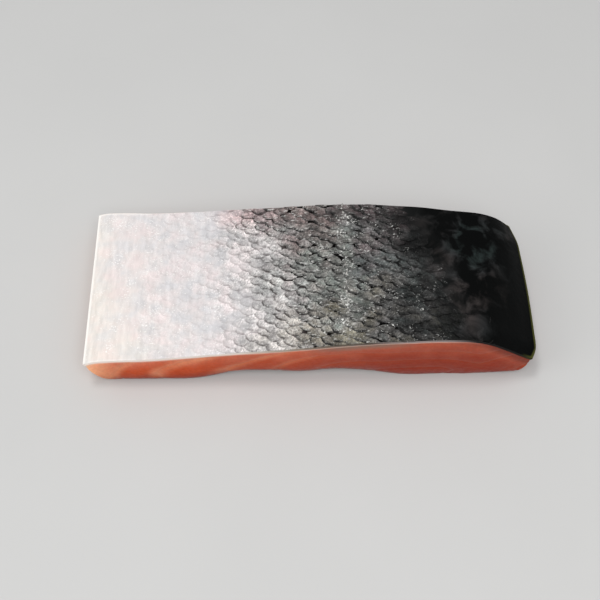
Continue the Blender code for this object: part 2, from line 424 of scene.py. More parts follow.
    bumps = add(tree, "ShaderNodeTexNoise", {"Vector": spot, "Scale": per_mm(2.2), "Detail": 4.0})
    height = add(tree, "ShaderNodeMath", {0: fibres, 1: 0.4, 2: bumps.outputs[0]}, operation="MULTIPLY_ADD")
    relief = add(tree, "ShaderNodeBump", {"Height": height, "Strength": 0.35, "Distance": 0.25 * MM})
    wetness = add(tree, "ShaderNodeMapRange", {"Value": bumps, "From Min": 0.3, "From Max": 0.7,
                                               "To Min": 0.28, "To Max": 0.48})
    surface = add(tree, "ShaderNodeBsdfPrincipled", {
        "Base Color": colour.outputs[2], "Roughness": wetness.outputs[0], "IOR": 1.38, "Normal": relief,
        "Specular IOR Level": 0.2,
        "Subsurface Weight": 0.45, "Subsurface Radius": (1.0, 0.35, 0.2), "Subsurface Scale": 2.5 * MM,
        "Coat Weight": 0.15, "Coat Roughness": 0.12, "Coat IOR": 1.33})
    tree.links.new(surface.outputs[0], output.inputs["Surface"])
    return material


class FILLET_OT_flesh(bpy.types.Operator):
    """Build the flesh: flaked muscle with fat seams, over the CAD flesh"""
    bl_idname = "fillet.flesh"
    bl_label = "Flesh"

    def execute(self, context):
        settings = context.scene.fillet_flesh
        bm = merged_copy("flesh")
        for step in range(1, 16):
            bmesh.ops.bisect_plane(bm, geom=bm.verts[:] + bm.edges[:] + bm.faces[:], dist=1e-6,
                                   plane_co=(0.0, LOW.y + (HIGH.y - LOW.y) * step / 16.0, 0.0),
                                   plane_no=(0.0, 1.0, 0.0))
        crease_edges(bm, 0.85)
        piece = as_object("flesh_muscle", bm)
        subdivide(piece, 2)
        refine_walls(piece)
        add_flesh_detail(piece, settings)
        smooth_shading(piece)
        piece.data.materials.append(flesh_material(settings))
        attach(piece, "root")
        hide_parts("flesh")
        return {"FINISHED"}


# ---------------------------------------------------------------- skin

LATERAL_LINE = 14.0 * MM      # place of the lateral line across the fish
BLUSH_PLACE = -24.0 * MM      # place of the pink blush across the fish
SMOOTH_START = 24.0 * MM      # where the scales begin to flatten under the thick slime of the back
SMOOTH_END = 56.0 * MM        # where they have vanished
BURIAL_START = 42.0 * MM      # where they begin to sink in
SMOOTH_SKEW = 0.31            # how far that border leans along the fish
ZONE_SKEW = 0.20              # how far the colour zones lean along the fish
# The colour between the scales is partly dark pigment and partly painted shade in the crevices under their free
# edges
SKIN_ZONES = (                # place across in millimetres, colour of the scales, colour between them
    (-84.0, "#DCD5CE", "#D8D1CA"),
    (-68.0, "#D7D0CE", "#D3CCCA"),
    (-44.0, "#D0CBCB", "#C8C2C2"),
    (-30.0, "#CCC7C7", "#BAB4B4"),
    (-18.0, "#B8B4B3", "#6A6463"),
    (-8.0, "#9D9997", "#211C1B"),
    (0.0, "#706D6A", "#0A0807"),
    (10.0, "#75736F", "#050404"),
    (20.0, "#5A5858", "#050404"),
    (30.0, "#4E4D4D", "#030303"),
    (40.0, "#171818", "#020202"),
    (52.0, "#050606", "#020202"),
    (84.0, "#030404", "#020202"),
)


def zone_ramp(tree, across, column):
    """Colours of the skin from the belly to the back."""
    span = SKIN_ZONES[-1][0] - SKIN_ZONES[0][0]
    stops = [((zone[0] - SKIN_ZONES[0][0]) / span, linear(zone[column])) for zone in SKIN_ZONES]
    place = add(tree, "ShaderNodeMapRange", {"Value": across, "From Min": SKIN_ZONES[0][0] * MM,
                                             "From Max": SKIN_ZONES[-1][0] * MM})
    return add(tree, "ShaderNodeValToRGB", {0: place}, stops=stops)


def skin_place(tree, spot):
    """Place across the fish, with the edges of the colour zones made irregular."""
    place = add(tree, "ShaderNodeSeparateXYZ", {0: spot})
    broad = add(tree, "ShaderNodeTexNoise", {"Vector": spot, "Scale": per_mm(20.0), "Detail": 3.0})
    drift = add(tree, "ShaderNodeMapRange", {"Value": broad, "From Min": 0.3, "From Max": 0.7,
                                             "To Min": -8.0 * MM, "To Max": 8.0 * MM})
    leaning = add(tree, "ShaderNodeMath", {0: place.outputs["Y"], 1: ZONE_SKEW, 2: place.outputs["X"]},
                  operation="MULTIPLY_ADD")
    return add(tree, "ShaderNodeMath", {0: leaning, 1: drift.outputs[0]}, operation="ADD")


def tinted_skin(tree, spot, colour):
    """Add the marks that skin and scales share: the belly's painted sheen streaks and painted glints, a pink
    blush, clouds of painted sheen on the back.
    """
    place = add(tree, "ShaderNodeSeparateXYZ", {0: spot})
    pale = add(tree, "ShaderNodeMapRange", {"Value": place.outputs["X"], "From Min": -8.0 * MM,
                                            "From Max": -34.0 * MM}, interpolation_type="SMOOTHSTEP")

    # Belly: soft mottling, painted sheen streaks along the fish, small painted white glints
    mottle = add(tree, "ShaderNodeTexNoise", {"Vector": spot, "Scale": per_mm(7.0), "Detail": 3.0})
    hue = add(tree, "ShaderNodeValToRGB", {0: mottle}, stops=[
        (0.36, linear("#B7BABC")), (0.5, linear("#BCBCBC")), (0.64, linear("#BFBBBB"))])
    along = add(tree, "ShaderNodeMapping", {"Vector": spot, "Scale": (1.0, 0.25, 1.0)})
    painted_sheen_streaks = add(tree, "ShaderNodeTexNoise", {"Vector": along, "Scale": per_mm(1.7), "Detail": 3.0,
                                               "Roughness": 0.6})
    painted_sheen_streaks = add(tree, "ShaderNodeMapRange", {"Value": painted_sheen_streaks, "From Min": 0.3, "From Max": 0.7,
                                               "To Min": 1.79, "To Max": 2.16})
    hue = add(tree, "ShaderNodeVectorMath", {0: hue.outputs[0], 3: painted_sheen_streaks.outputs[0]}, operation="SCALE")
    colour = add(tree, "ShaderNodeMix", {0: pale.outputs[0], 6: colour, 7: hue}, data_type="RGBA",
                 blend_type="MULTIPLY")
    painted_glints = add(tree, "ShaderNodeTexNoise", {"Vector": spot, "Scale": per_mm(0.6), "Detail": 1.0})
    groups = add(tree, "ShaderNodeTexNoise", {"Vector": spot, "Scale": per_mm(8.0), "Detail": 2.0})
    painted_glints = add(tree, "ShaderNodeMath", {0: groups, 1: 0.45, 2: painted_glints.outputs[0]}, operation="MULTIPLY_ADD")
    painted_glints = add(tree, "ShaderNodeMapRange", {"Value": painted_glints, "From Min": 0.87, "From Max": 0.98,
                                              "To Min": 0.0, "To Max": 0.7})
    painted_glints = add(tree, "ShaderNodeMath", {0: painted_glints.outputs[0], 1: pale.outputs[0]}, operation="MULTIPLY")
    colour = add(tree, "ShaderNodeMix", {0: painted_glints, 6: colour.outputs[2], 7: linear("#F2F0EE")}, data_type="RGBA")

    # Pink blush near the head-side cut
    near_head = add(tree, "ShaderNodeMapRange", {"Value": place.outputs["Y"], "From Min": 19.0 * MM,
                                                 "From Max": 32.0 * MM}, interpolation_type="SMOOTHSTEP")
    off_blush = add(tree, "ShaderNodeMath", {0: place.outputs["X"], 1: BLUSH_PLACE}, operation="SUBTRACT")
    off_blush = add(tree, "ShaderNodeMath", {0: off_blush}, operation="ABSOLUTE")
    blush = add(tree, "ShaderNodeMapRange", {"Value": off_blush, "From Min": 3.0 * MM, "From Max": 18.0 * MM,
                                             "To Min": 0.5, "To Max": 0.0}, interpolation_type="SMOOTHSTEP")
    blush = add(tree, "ShaderNodeMath", {0: blush.outputs[0], 1: near_head.outputs[0]}, operation="MULTIPLY")
    blush = add(tree, "ShaderNodeMath", {0: blush, 1: groups.outputs[0]}, operation="MULTIPLY")
    colour = add(tree, "ShaderNodeMix", {0: blush, 6: colour.outputs[2], 7: linear("#FFB9BC")}, data_type="RGBA",
                 blend_type="MULTIPLY")

    # Back: thin clouds of painted slate and teal sheen on the black skin
    on_back = add(tree, "ShaderNodeMapRange", {"Value": place.outputs["X"], "From Min": 38.0 * MM,
                                               "From Max": 58.0 * MM})
    off_back = add(tree, "ShaderNodeMath", {0: place.outputs["Y"], 1: -0.35, 2: place.outputs["X"]},
                   operation="MULTIPLY_ADD")
    off_back = add(tree, "ShaderNodeMapRange", {"Value": off_back, "From Min": 82.0 * MM, "From Max": 62.0 * MM},
                   interpolation_type="SMOOTHSTEP")
    painted_sheen_clouds = add(tree, "ShaderNodeTexNoise", {"Vector": spot, "Scale": per_mm(8.0), "Detail": 5.0,
                                              "Roughness": 0.58, "Distortion": 0.5})
    painted_sheen_clouds = add(tree, "ShaderNodeMapRange", {"Value": painted_sheen_clouds, "From Min": 0.44, "From Max": 0.72,
                                              "To Min": 0.0, "To Max": 0.9}, interpolation_type="SMOOTHSTEP")
    painted_sheen_clouds = add(tree, "ShaderNodeMath", {0: painted_sheen_clouds.outputs[0], 1: on_back.outputs[0]}, operation="MULTIPLY")
    painted_sheen_clouds = add(tree, "ShaderNodeMath", {0: painted_sheen_clouds, 1: off_back.outputs[0]}, operation="MULTIPLY")
    sheen_tint = add(tree, "ShaderNodeTexNoise", {"Vector": spot, "Scale": per_mm(18.0), "Detail": 1.0})
    sheen_tint = add(tree, "ShaderNodeValToRGB", {0: sheen_tint}, stops=[
        (0.38, linear("#403B3A")), (0.50, linear("#3B3C3D")), (0.64, linear("#343D3C"))])
    return add(tree, "ShaderNodeMix", {0: painted_sheen_clouds, 6: colour.outputs[2], 7: sheen_tint.outputs[0]},
               data_type="RGBA").outputs[2]


def skin_outline():
    """The skin's outline seen from above, as a closed ring of points, from the CAD skin."""
    bm = merged_copy("skin")
    rim = [e for e in bm.edges if e.calc_face_angle(0.0) > SHARP_EDGE
           and any(f.normal.z > 0.3 for f in e.link_faces)]
    links = {}
    for edge in rim:
        for vertex in edge.verts:
            links.setdefault(vertex, []).append(edge.other_vert(vertex))
    start = min(links, key=lambda v: v.co.x + v.co.y)
    ring, before, here = [start], start, links[start][0]
    while here is not start:
        ring.append(here)
        following = [v for v in links[here] if v is not before]
        before, here = here, following[0]
    points = [v.co.copy() for v in ring]
    bm.free()
    turning = sum(a.x * b.y - a.y * b.x for a, b in zip(points, points[1:] + points[:1]))
    return points if turning > 0.0 else points[::-1]


def store_rim_distance(piece, outline):
    """Store how far each point lies from the skin's cut edge."""
    starts = np.array(outline)
    runs = np.roll(starts, -1, axis=0) - starts
    count = len(piece.data.vertices)
    points = np.empty(count * 3)
    piece.data.vertices.foreach_get("co", points)
    offsets = points.reshape(count, 1, 3) - starts
    shares = np.clip((offsets * runs).sum(axis=2) / (runs * runs).sum(axis=1), 0.0, 1.0)
    gaps = np.linalg.norm(offsets - shares[:, :, None] * runs, axis=2).min(axis=1)
    piece.data.attributes.new("from_rim", "FLOAT", "POINT").data.foreach_set("value", gaps.astype(np.float32))


def skin_sheet_material():
    """Salmon skin between and below its scales: dark pigment and painted crevice shade in the pockets, wet."""
    material, tree, output = new_material("Salmon skin below the scales, wet")
    spot = add(tree, "ShaderNodeTexCoord").outputs["Object"]
    across = skin_place(tree, spot)
    pocket_pigment_and_shade = zone_ramp(tree, across, 2)
    face = zone_ramp(tree, across, 1)
    scaled = add(tree, "ShaderNodeMapRange", {"Value": across, "From Min": -45.0 * MM, "From Max": -12.0 * MM},
                 interpolation_type="SMOOTHSTEP")
    bare = add(tree, "ShaderNodeMapRange", {"Value": across, "From Min": 26.0 * MM, "From Max": 40.0 * MM,
                                            "To Min": 1.0, "To Max": 0.0}, interpolation_type="SMOOTHSTEP")
    scaled = add(tree, "ShaderNodeMath", {0: scaled.outputs[0], 1: bare.outputs[0]}, operation="MULTIPLY")
    colour = add(tree, "ShaderNodeMix", {0: scaled, 6: face.outputs[0], 7: pocket_pigment_and_shade.outputs[0]},
                 data_type="RGBA")

    colour = tinted_skin(tree, spot, colour.outputs[2])

    # Rim: pale at the belly edge, olive where the knife opened the back
    place = add(tree, "ShaderNodeSeparateXYZ", {0: spot})
    rim = add(tree, "ShaderNodeAttribute", attribute_name="from_rim").outputs["Fac"]
    rim = add(tree, "ShaderNodeMapRange", {"Value": rim, "From Min": 0.2 * MM, "From Max": 1.0 * MM,
                                           "To Min": 1.0, "To Max": 0.0}, interpolation_type="SMOOTHSTEP")
    at_back = add(tree, "ShaderNodeMapRange", {"Value": place.outputs["X"], "From Min": HIGH.x - 7.0 * MM,
                                               "From Max": HIGH.x - 3.0 * MM})
    olive = add(tree, "ShaderNodeMath", {0: rim.outputs[0], 1: at_back.outputs[0]}, operation="MULTIPLY")
    colour = add(tree, "ShaderNodeMix", {0: olive, 6: colour, 7: linear("#44451F")}, data_type="RGBA")
    at_belly = add(tree, "ShaderNodeMapRange", {"Value": place.outputs["X"], "From Min": LOW.x + 40.0 * MM,
                                                "From Max": LOW.x + 3.0 * MM})
    pale = add(tree, "ShaderNodeMath", {0: rim.outputs[0], 1: at_belly.outputs[0]}, operation="MULTIPLY")
    colour = add(tree, "ShaderNodeMix", {0: pale, 6: colour.outputs[2], 7: linear("#EEEBE6")}, data_type="RGBA")

    grain = add(tree, "ShaderNodeTexNoise", {"Vector": spot, "Scale": per_mm(2.4), "Detail": 5.0})
    relief = add(tree, "ShaderNodeBump", {"Height": grain, "Strength": 0.35, "Distance": 0.35 * MM})
    surface = add(tree, "ShaderNodeBsdfPrincipled", {
        "Base Color": colour.outputs[2], "Roughness": 0.46, "IOR": 1.35, "Specular IOR Level": 0.07,
        "Normal": relief})
    tree.links.new(surface.outputs[0], output.inputs["Surface"])
    return material


def skin_edge_material():
    """Cut edge of salmon skin: pale gristly tissue, olive at the back."""
    material, tree, output = new_material("Salmon skin, cut edge")
    spot = add(tree, "ShaderNodeTexCoord").outputs["Object"]
    place = add(tree, "ShaderNodeSeparateXYZ", {0: spot})
    share = add(tree, "ShaderNodeMapRange", {"Value": place.outputs["X"], "From Min": LOW.x, "From Max": HIGH.x})
    colour = add(tree, "ShaderNodeValToRGB", {0: share}, stops=[
        (0.0, linear("#F2E6DE")), (0.34, linear("#E6DAD1")), (0.42, linear("#B8A99A")), (0.52, linear("#7A6D60")),
        (0.63, linear("#5A4F48")), (0.70, linear("#9A8D8A")), (0.79, linear("#8E8280")), (0.85, linear("#161415")),
        (0.95, linear("#12110E")), (1.0, linear("#3C3A1A"))])
    grain = add(tree, "ShaderNodeTexNoise", {"Vector": spot, "Scale": per_mm(0.7), "Detail": 4.0})
    relief = add(tree, "ShaderNodeBump", {"Height": grain, "Strength": 0.4, "Distance": 0.2 * MM})
    surface = add(tree, "ShaderNodeBsdfPrincipled", {
        "Base Color": colour.outputs[0], "Roughness": 0.6, "IOR": 1.38, "Specular IOR Level": 0.15,
        "Normal": relief})
    tree.links.new(surface.outputs[0], output.inputs["Surface"])
    return material


class FILLET_OT_skin(bpy.types.Operator):
    """Build the skin sheet that the scales grow from, over the CAD skin"""
    bl_idname = "fillet.skin"
    bl_label = "Skin"

    def execute(self, context):
        settings = context.scene.fillet_skin
        bm = merged_copy("skin")
        crease_edges(bm, 1.0)
        piece = as_object("skin_sheet", bm)
        subdivide(piece, 2)
        bm = bmesh.new()
        bm.from_mesh(piece.data)
        bm.normal_update()
        walls = {f for f in bm.faces if abs(f.normal.z) < 0.3 or f.calc_area() < 1e-12}
        top = {v for f in bm.faces if f not in walls and f.normal.z > 0.0 for v in f.verts}
        below = {v for f in bm.faces if f not in walls and f.normal.z < 0.0 for v in f.verts}
        for vertex in bm.verts:
            faces = [f.normal for f in vertex.link_faces if f not in walls]
            if not faces:
                continue
            normal = sum(faces, Vector()).normalized()
            if vertex in top:
                bare = (vertex.co.x + SMOOTH_SKEW * vertex.co.y - SMOOTH_START) / (SMOOTH_END - SMOOTH_START)
                vertex.co -= normal * settings.sink * (1.0 - 0.8 * min(1.0, max(0.0, bare)))
            elif vertex in below:
                vertex.co += normal * settings.reach
        for face in bm.faces:
            face.material_index = 1 if face in walls else 0
        bm.to_mesh(piece.data)
        bm.free()
        store_rim_distance(piece, skin_outline())
        smooth_shading(piece)
        piece.data.materials.append(skin_sheet_material())
        piece.data.materials.append(skin_edge_material())
        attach(piece, "root")
        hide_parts("skin")
        return {"FINISHED"}


# ---------------------------------------------------------------- scales

PLATE_KINDS = 5               # scales of slightly different outline
PLATE_SIDES = 14              # sides of one scale's outline
PLATE_RING = 0.74             # where the ring between middle and rim lies
PLATE_THICKNESS = 0.20 * MM
PLATE_CROWN = 0.30 * MM       # how far the middle of a scale stands above its rim
PLATE_CROWN_PLACE = -0.22     # where that crown lies, towards the free edge
TILT = radians(5.5)           # how far a scale's free edge is raised
TURN = radians(-16.0)         # how far a scale is turned from square to the fish
COLUMN_SLOPE = -0.093
ROW_SLOPE = -0.173


def scale_plate(settings, number):
    """One scale as a closed, slightly crowned plate, with its own coordinates stored on it."""
    bm = bmesh.new()
    own = bm.verts.layers.float_vector.new("on_scale")
    half = Vector((0.5 * settings.width, 0.5 * settings.length, 0.0))

    def corner(across, along, drop):
        crown = PLATE_CROWN * max(0.0, 1.0 - across ** 2 - (along - PLATE_CROWN_PLACE) ** 2 * 0.9)
        vertex = bm.verts.new((across * half.x, along * half.y, crown - drop))
        vertex[own] = (across, along, hypot(across, along))
        return vertex

    angles = [2.0 * pi * step / PLATE_SIDES for step in range(PLATE_SIDES)]
    unevenness = [1.0 + 0.10 * noise.noise(Vector((cos(a) * 1.6, sin(a) * 1.6, number * 3.7))) for a in angles]
    middle = corner(0.0, PLATE_CROWN_PLACE, 0.0)
    rings = []
    for radius, drop in ((PLATE_RING, 0.0), (1.0, 0.0), (1.0, PLATE_THICKNESS)):
        rings.append([corner(radius * cos(a) * uneven, radius * sin(a) * uneven, drop)
                      for a, uneven in zip(angles, unevenness)])
    for step in range(PLATE_SIDES):
        after = (step + 1) % PLATE_SIDES
        bm.faces.new((middle, rings[0][step], rings[0][after]))
        for inner, outer in ((rings[0], rings[1]), (rings[1], rings[2])):
            bm.faces.new((inner[step], outer[step], outer[after], inner[after]))
    bm.faces.new(list(reversed(rings[2])))
    for face in bm.faces:
        face.smooth = True
    bmesh.ops.recalc_face_normals(bm, faces=bm.faces)
    return as_object(f"scale_plate_{number}", bm)


def scale_tree():
    """Geometry Nodes that lay overlapping scales on the skin, row on row."""
    tree = bpy.data.node_groups.new("Scales on skin", "GeometryNodeTree")
    sockets = (
        ("Skin", "NodeSocketObject"), ("Plates", "NodeSocketCollection"), ("Column Spacing", "NodeSocketFloat"),
        ("Row Spacing", "NodeSocketFloat"), ("Columns", "NodeSocketInt"), ("Rows", "NodeSocketInt"),
        ("Tail Cut", "NodeSocketFloat"), ("Head Cut", "NodeSocketFloat"), ("Head Cut Slope", "NodeSocketFloat"),
        ("Belly Edge", "NodeSocketFloat"), ("Back Edge", "NodeSocketFloat"),
        ("Seed", "NodeSocketInt"), ("Material", "NodeSocketMaterial"),
    )
    for name, kind in sockets:
        tree.interface.new_socket(name, in_out="INPUT", socket_type=kind)
    tree.interface.new_socket("Geometry", in_out="OUTPUT", socket_type="NodeSocketGeometry")
    given = add(tree, "NodeGroupInput").outputs

    # A grid of places, every second column half a row on, then turned a little
    wide = add(tree, "ShaderNodeMath", {0: given["Columns"], 1: given["Column Spacing"]}, operation="MULTIPLY")
    long = add(tree, "ShaderNodeMath", {0: given["Rows"], 1: given["Row Spacing"]}, operation="MULTIPLY")
    columns = add(tree, "ShaderNodeMath", {0: given["Columns"], 1: 1.0}, operation="ADD")
    rows = add(tree, "ShaderNodeMath", {0: given["Rows"], 1: 1.0}, operation="ADD")
    grid = add(tree, "GeometryNodeMeshGrid", {"Size X": wide, "Size Y": long, "Vertices X": columns,
                                              "Vertices Y": rows})
    spot = add(tree, "ShaderNodeSeparateXYZ", {0: add(tree, "GeometryNodeInputPosition")})
    column = add(tree, "ShaderNodeMath", {0: spot.outputs["X"], 1: given["Column Spacing"]}, operation="DIVIDE")
    column = add(tree, "ShaderNodeMath", {0: column}, operation="ROUND")
    odd = add(tree, "ShaderNodeMath", {0: column, 1: 2.0}, operation="FLOORED_MODULO")
    half_row = add(tree, "ShaderNodeMath", {0: given["Row Spacing"], 1: 0.5}, operation="MULTIPLY")
    along = add(tree, "ShaderNodeMath", {0: odd, 1: half_row, 2: spot.outputs["Y"]}, operation="MULTIPLY_ADD")
    along = add(tree, "ShaderNodeMath", {0: spot.outputs["X"], 1: ROW_SLOPE, 2: along}, operation="MULTIPLY_ADD")
    across = add(tree, "ShaderNodeMath", {0: spot.outputs["Y"], 1: COLUMN_SLOPE, 2: spot.outputs["X"]},
                 operation="MULTIPLY_ADD")
    shake = add(tree, "FunctionNodeRandomValue", {0: (-0.5 * MM,) * 3, 1: (0.5 * MM,) * 3, "Seed": given["Seed"]},
                data_type="FLOAT_VECTOR")
    place = add(tree, "ShaderNodeCombineXYZ", {"X": across, "Y": along})
    place = add(tree, "ShaderNodeVectorMath", {0: place, 1: shake}, operation="ADD")
    wander = add(tree, "ShaderNodeTexNoise", {"Vector": place, "Scale": per_mm(24.0), "Detail": 1.0})
    wander = add(tree, "ShaderNodeVectorMath", {0: wander.outputs["Color"], 1: (0.5, 0.5, 0.5)},
                 operation="SUBTRACT")
    wander = add(tree, "ShaderNodeVectorMath", {0: wander, 3: 6.0 * MM}, operation="SCALE")
    place = add(tree, "ShaderNodeVectorMath", {0: place, 1: wander}, operation="ADD")
    place = add(tree, "ShaderNodeVectorMath", {0: place, 1: (1.0, 1.0, 0.0)}, operation="MULTIPLY")
    laid = add(tree, "GeometryNodeSetPosition", {"Geometry": grid, "Position": place})

    # Places just past a cut still need the skin's height, from the nearest skin inside it
    spot = add(tree, "ShaderNodeSeparateXYZ", {0: add(tree, "GeometryNodeInputPosition")})
    head = add(tree, "ShaderNodeMath", {0: spot.outputs["X"], 1: given["Head Cut Slope"], 2: given["Head Cut"]},
               operation="MULTIPLY_ADD")
    in_x = add(tree, "ShaderNodeClamp", {"Value": spot.outputs["X"], "Min": given["Belly Edge"],
                                         "Max": given["Back Edge"]})
    in_y = add(tree, "ShaderNodeClamp", {"Value": spot.outputs["Y"], "Min": given["Tail Cut"], "Max": head})
    above = add(tree, "ShaderNodeCombineXYZ", {"X": in_x, "Y": in_y, "Z": 80.0 * MM})
    skin = add(tree, "GeometryNodeObjectInfo", {"Object": given["Skin"]})
    hit = add(tree, "GeometryNodeRaycast", {"Target Geometry": skin.outputs["Geometry"], "Source Position": above,
                                            "Ray Direction": (0.0, 0.0, -1.0), "Ray Length": 0.2})
    inside = add(tree, "ShaderNodeCombineXYZ", {"X": in_x, "Y": in_y})
    flat = add(tree, "ShaderNodeCombineXYZ", {"X": spot.outputs["X"], "Y": spot.outputs["Y"]})
    past = add(tree, "ShaderNodeVectorMath", {0: flat, 1: inside}, operation="SUBTRACT")
    gone = add(tree, "ShaderNodeVectorMath", {0: past}, operation="LENGTH")
    near = add(tree, "FunctionNodeCompare", {0: gone.outputs["Value"], 1: 3.2 * MM}, operation="LESS_THAN")
    use = add(tree, "FunctionNodeBooleanMath", {0: near, 1: hit.outputs["Is Hit"]}, operation="AND")
    off_edge = add(tree, "ShaderNodeMath", {0: given["Belly Edge"], 1: 5.0 * MM}, operation="ADD")
    off_edge = add(tree, "FunctionNodeCompare", {0: spot.outputs["X"], 1: off_edge}, operation="GREATER_THAN")
    use = add(tree, "FunctionNodeBooleanMath", {0: use, 1: off_edge}, operation="AND")
    slope = add(tree, "ShaderNodeVectorMath", {0: past, 1: hit.outputs["Hit Normal"]}, operation="DOT_PRODUCT")
    slope = add(tree, "ShaderNodeVectorMath", {0: hit.outputs["Hit Normal"], 3: slope.outputs["Value"]},
                operation="SCALE")
    past = add(tree, "ShaderNodeVectorMath", {0: past, 1: slope}, operation="SUBTRACT")
    resting = add(tree, "ShaderNodeVectorMath", {0: hit.outputs["Hit Position"], 1: past}, operation="ADD")
    unused = add(tree, "FunctionNodeBooleanMath", {0: use}, operation="NOT")
    laid = add(tree, "GeometryNodeDeleteGeometry", {"Geometry": laid, "Selection": unused}, domain="POINT")
    resting = add(tree, "GeometryNodeSetPosition", {"Geometry": laid, "Position": resting})

    # Relief fades towards the belly and the back
    skewed = add(tree, "ShaderNodeMath", {0: spot.outputs["Y"], 1: SMOOTH_SKEW, 2: spot.outputs["X"]},
                 operation="MULTIPLY_ADD")
    fade_in = add(tree, "ShaderNodeMapRange", {"Value": skewed, "From Min": -50.0 * MM, "From Max": 8.0 * MM,
                                               "To Min": 0.05, "To Max": 1.0},
                  interpolation_type="SMOOTHSTEP")
    fade_out = add(tree, "ShaderNodeMapRange", {"Value": skewed, "From Min": SMOOTH_START, "From Max": SMOOTH_END,
                                                "To Min": 1.0, "To Max": 0.15}, interpolation_type="SMOOTHSTEP")
    relief = add(tree, "ShaderNodeMath", {0: fade_in, 1: fade_out}, operation="MULTIPLY")
    under = add(tree, "ShaderNodeMapRange", {"Value": skewed, "From Min": BURIAL_START, "From Max": SMOOTH_END,
                                             "To Min": 0.0, "To Max": -0.35 * MM})
    uneven = add(tree, "FunctionNodeRandomValue", {2: -0.12 * MM, 3: 0.10 * MM, "Seed": 5}, data_type="FLOAT")
    lift = add(tree, "ShaderNodeMath", {0: uneven.outputs[1], 1: relief, 2: under.outputs[0]},
               operation="MULTIPLY_ADD")
    belly = add(tree, "ShaderNodeMapRange", {"Value": spot.outputs["X"], "From Min": -76.0 * MM,
                                             "From Max": -60.0 * MM, "To Min": -0.22 * MM, "To Max": 0.04 * MM})
    lift = add(tree, "ShaderNodeMath", {0: lift, 1: belly.outputs[0]}, operation="ADD")
    lift = add(tree, "ShaderNodeVectorMath", {0: hit.outputs["Hit Normal"], 3: lift}, operation="SCALE")
    resting = add(tree, "GeometryNodeSetPosition", {"Geometry": resting, "Offset": lift})
    size = add(tree, "FunctionNodeRandomValue", {2: 0.84, 3: 1.1, "Seed": given["Seed"]}, data_type="FLOAT")
    steep = add(tree, "ShaderNodeSeparateXYZ", {0: hit.outputs["Hit Normal"]})
    wider = add(tree, "ShaderNodeMath", {0: size.outputs[1], 1: steep.outputs["Z"]}, operation="DIVIDE")
    scale = add(tree, "ShaderNodeCombineXYZ", {"X": wider, "Y": size.outputs[1], "Z": relief})
    facing = add(tree, "FunctionNodeAxesToRotation", {0: hit.outputs["Hit Normal"], 1: (1.0, 0.0, 0.0)},
                 primary_axis="Z", secondary_axis="X")
    lean = add(tree, "FunctionNodeRandomValue", {0: (-TILT - radians(3.0), radians(-4.0), 0.0),
                                                 1: (-TILT + radians(2.0), radians(4.0), 0.0),
                                                 "Seed": 3}, data_type="FLOAT_VECTOR")
    lean = add(tree, "ShaderNodeVectorMath", {0: lean, 3: relief}, operation="SCALE")
    swing = add(tree, "FunctionNodeRandomValue", {2: TURN - radians(12.0), 3: TURN + radians(12.0), "Seed": 4},
                data_type="FLOAT")
    swing = add(tree, "ShaderNodeCombineXYZ", {"Z": swing.outputs[1]})
    lean = add(tree, "ShaderNodeVectorMath", {0: lean, 1: swing}, operation="ADD")
    lean = add(tree, "FunctionNodeEulerToRotation", {0: lean})
    turned = add(tree, "FunctionNodeRotateRotation", {0: facing, 1: lean}, rotation_space="LOCAL")
    plates = add(tree, "GeometryNodeCollectionInfo", {"Collection": given["Plates"], "Separate Children": True,
                                                      "Reset Children": True})
    pick = add(tree, "FunctionNodeRandomValue", {4: 0, 5: PLATE_KINDS - 1, "Seed": 2}, data_type="INT")
    scales = add(tree, "GeometryNodeInstanceOnPoints", {
        "Points": resting, "Instance": plates, "Pick Instance": True,
        "Instance Index": pick.outputs[2], "Rotation": turned, "Scale": scale})
    chance = add(tree, "FunctionNodeRandomValue", {"Seed": 11}, data_type="FLOAT")
    scales = add(tree, "GeometryNodeStoreNamedAttribute", {"Geometry": scales, "Name": "chance",
                                                           "Value": chance.outputs[1]},
                 data_type="FLOAT", domain="INSTANCE")

    # Where the slime hides them, the scales are left out
    spot = add(tree, "ShaderNodeSeparateXYZ", {0: add(tree, "GeometryNodeInputPosition")})
    skewed = add(tree, "ShaderNodeMath", {0: spot.outputs["Y"], 1: SMOOTH_SKEW, 2: spot.outputs["X"]},
                 operation="MULTIPLY_ADD")
    hidden = add(tree, "FunctionNodeCompare", {0: skewed, 1: SMOOTH_END}, operation="GREATER_THAN")
    scales = add(tree, "GeometryNodeDeleteGeometry", {"Geometry": scales, "Selection": hidden},
                 domain="INSTANCE")
    real = add(tree, "GeometryNodeRealizeInstances", {0: scales})
    coated = add(tree, "GeometryNodeSetMaterial", {"Geometry": real, "Material": given["Material"]})
    add(tree, "NodeGroupOutput", {0: coated})
    return tree


def islands(bm):
    """Groups of vertices that hang together."""
    left = set(bm.verts)
    while left:
        stack = [left.pop()]
        group = []
        while stack:
            vertex = stack.pop()
            group.append(vertex)
            for edge in vertex.link_edges:
                other = edge.other_vert(vertex)
                if other in left:
                    left.remove(other)
                    stack.append(other)
        yield group


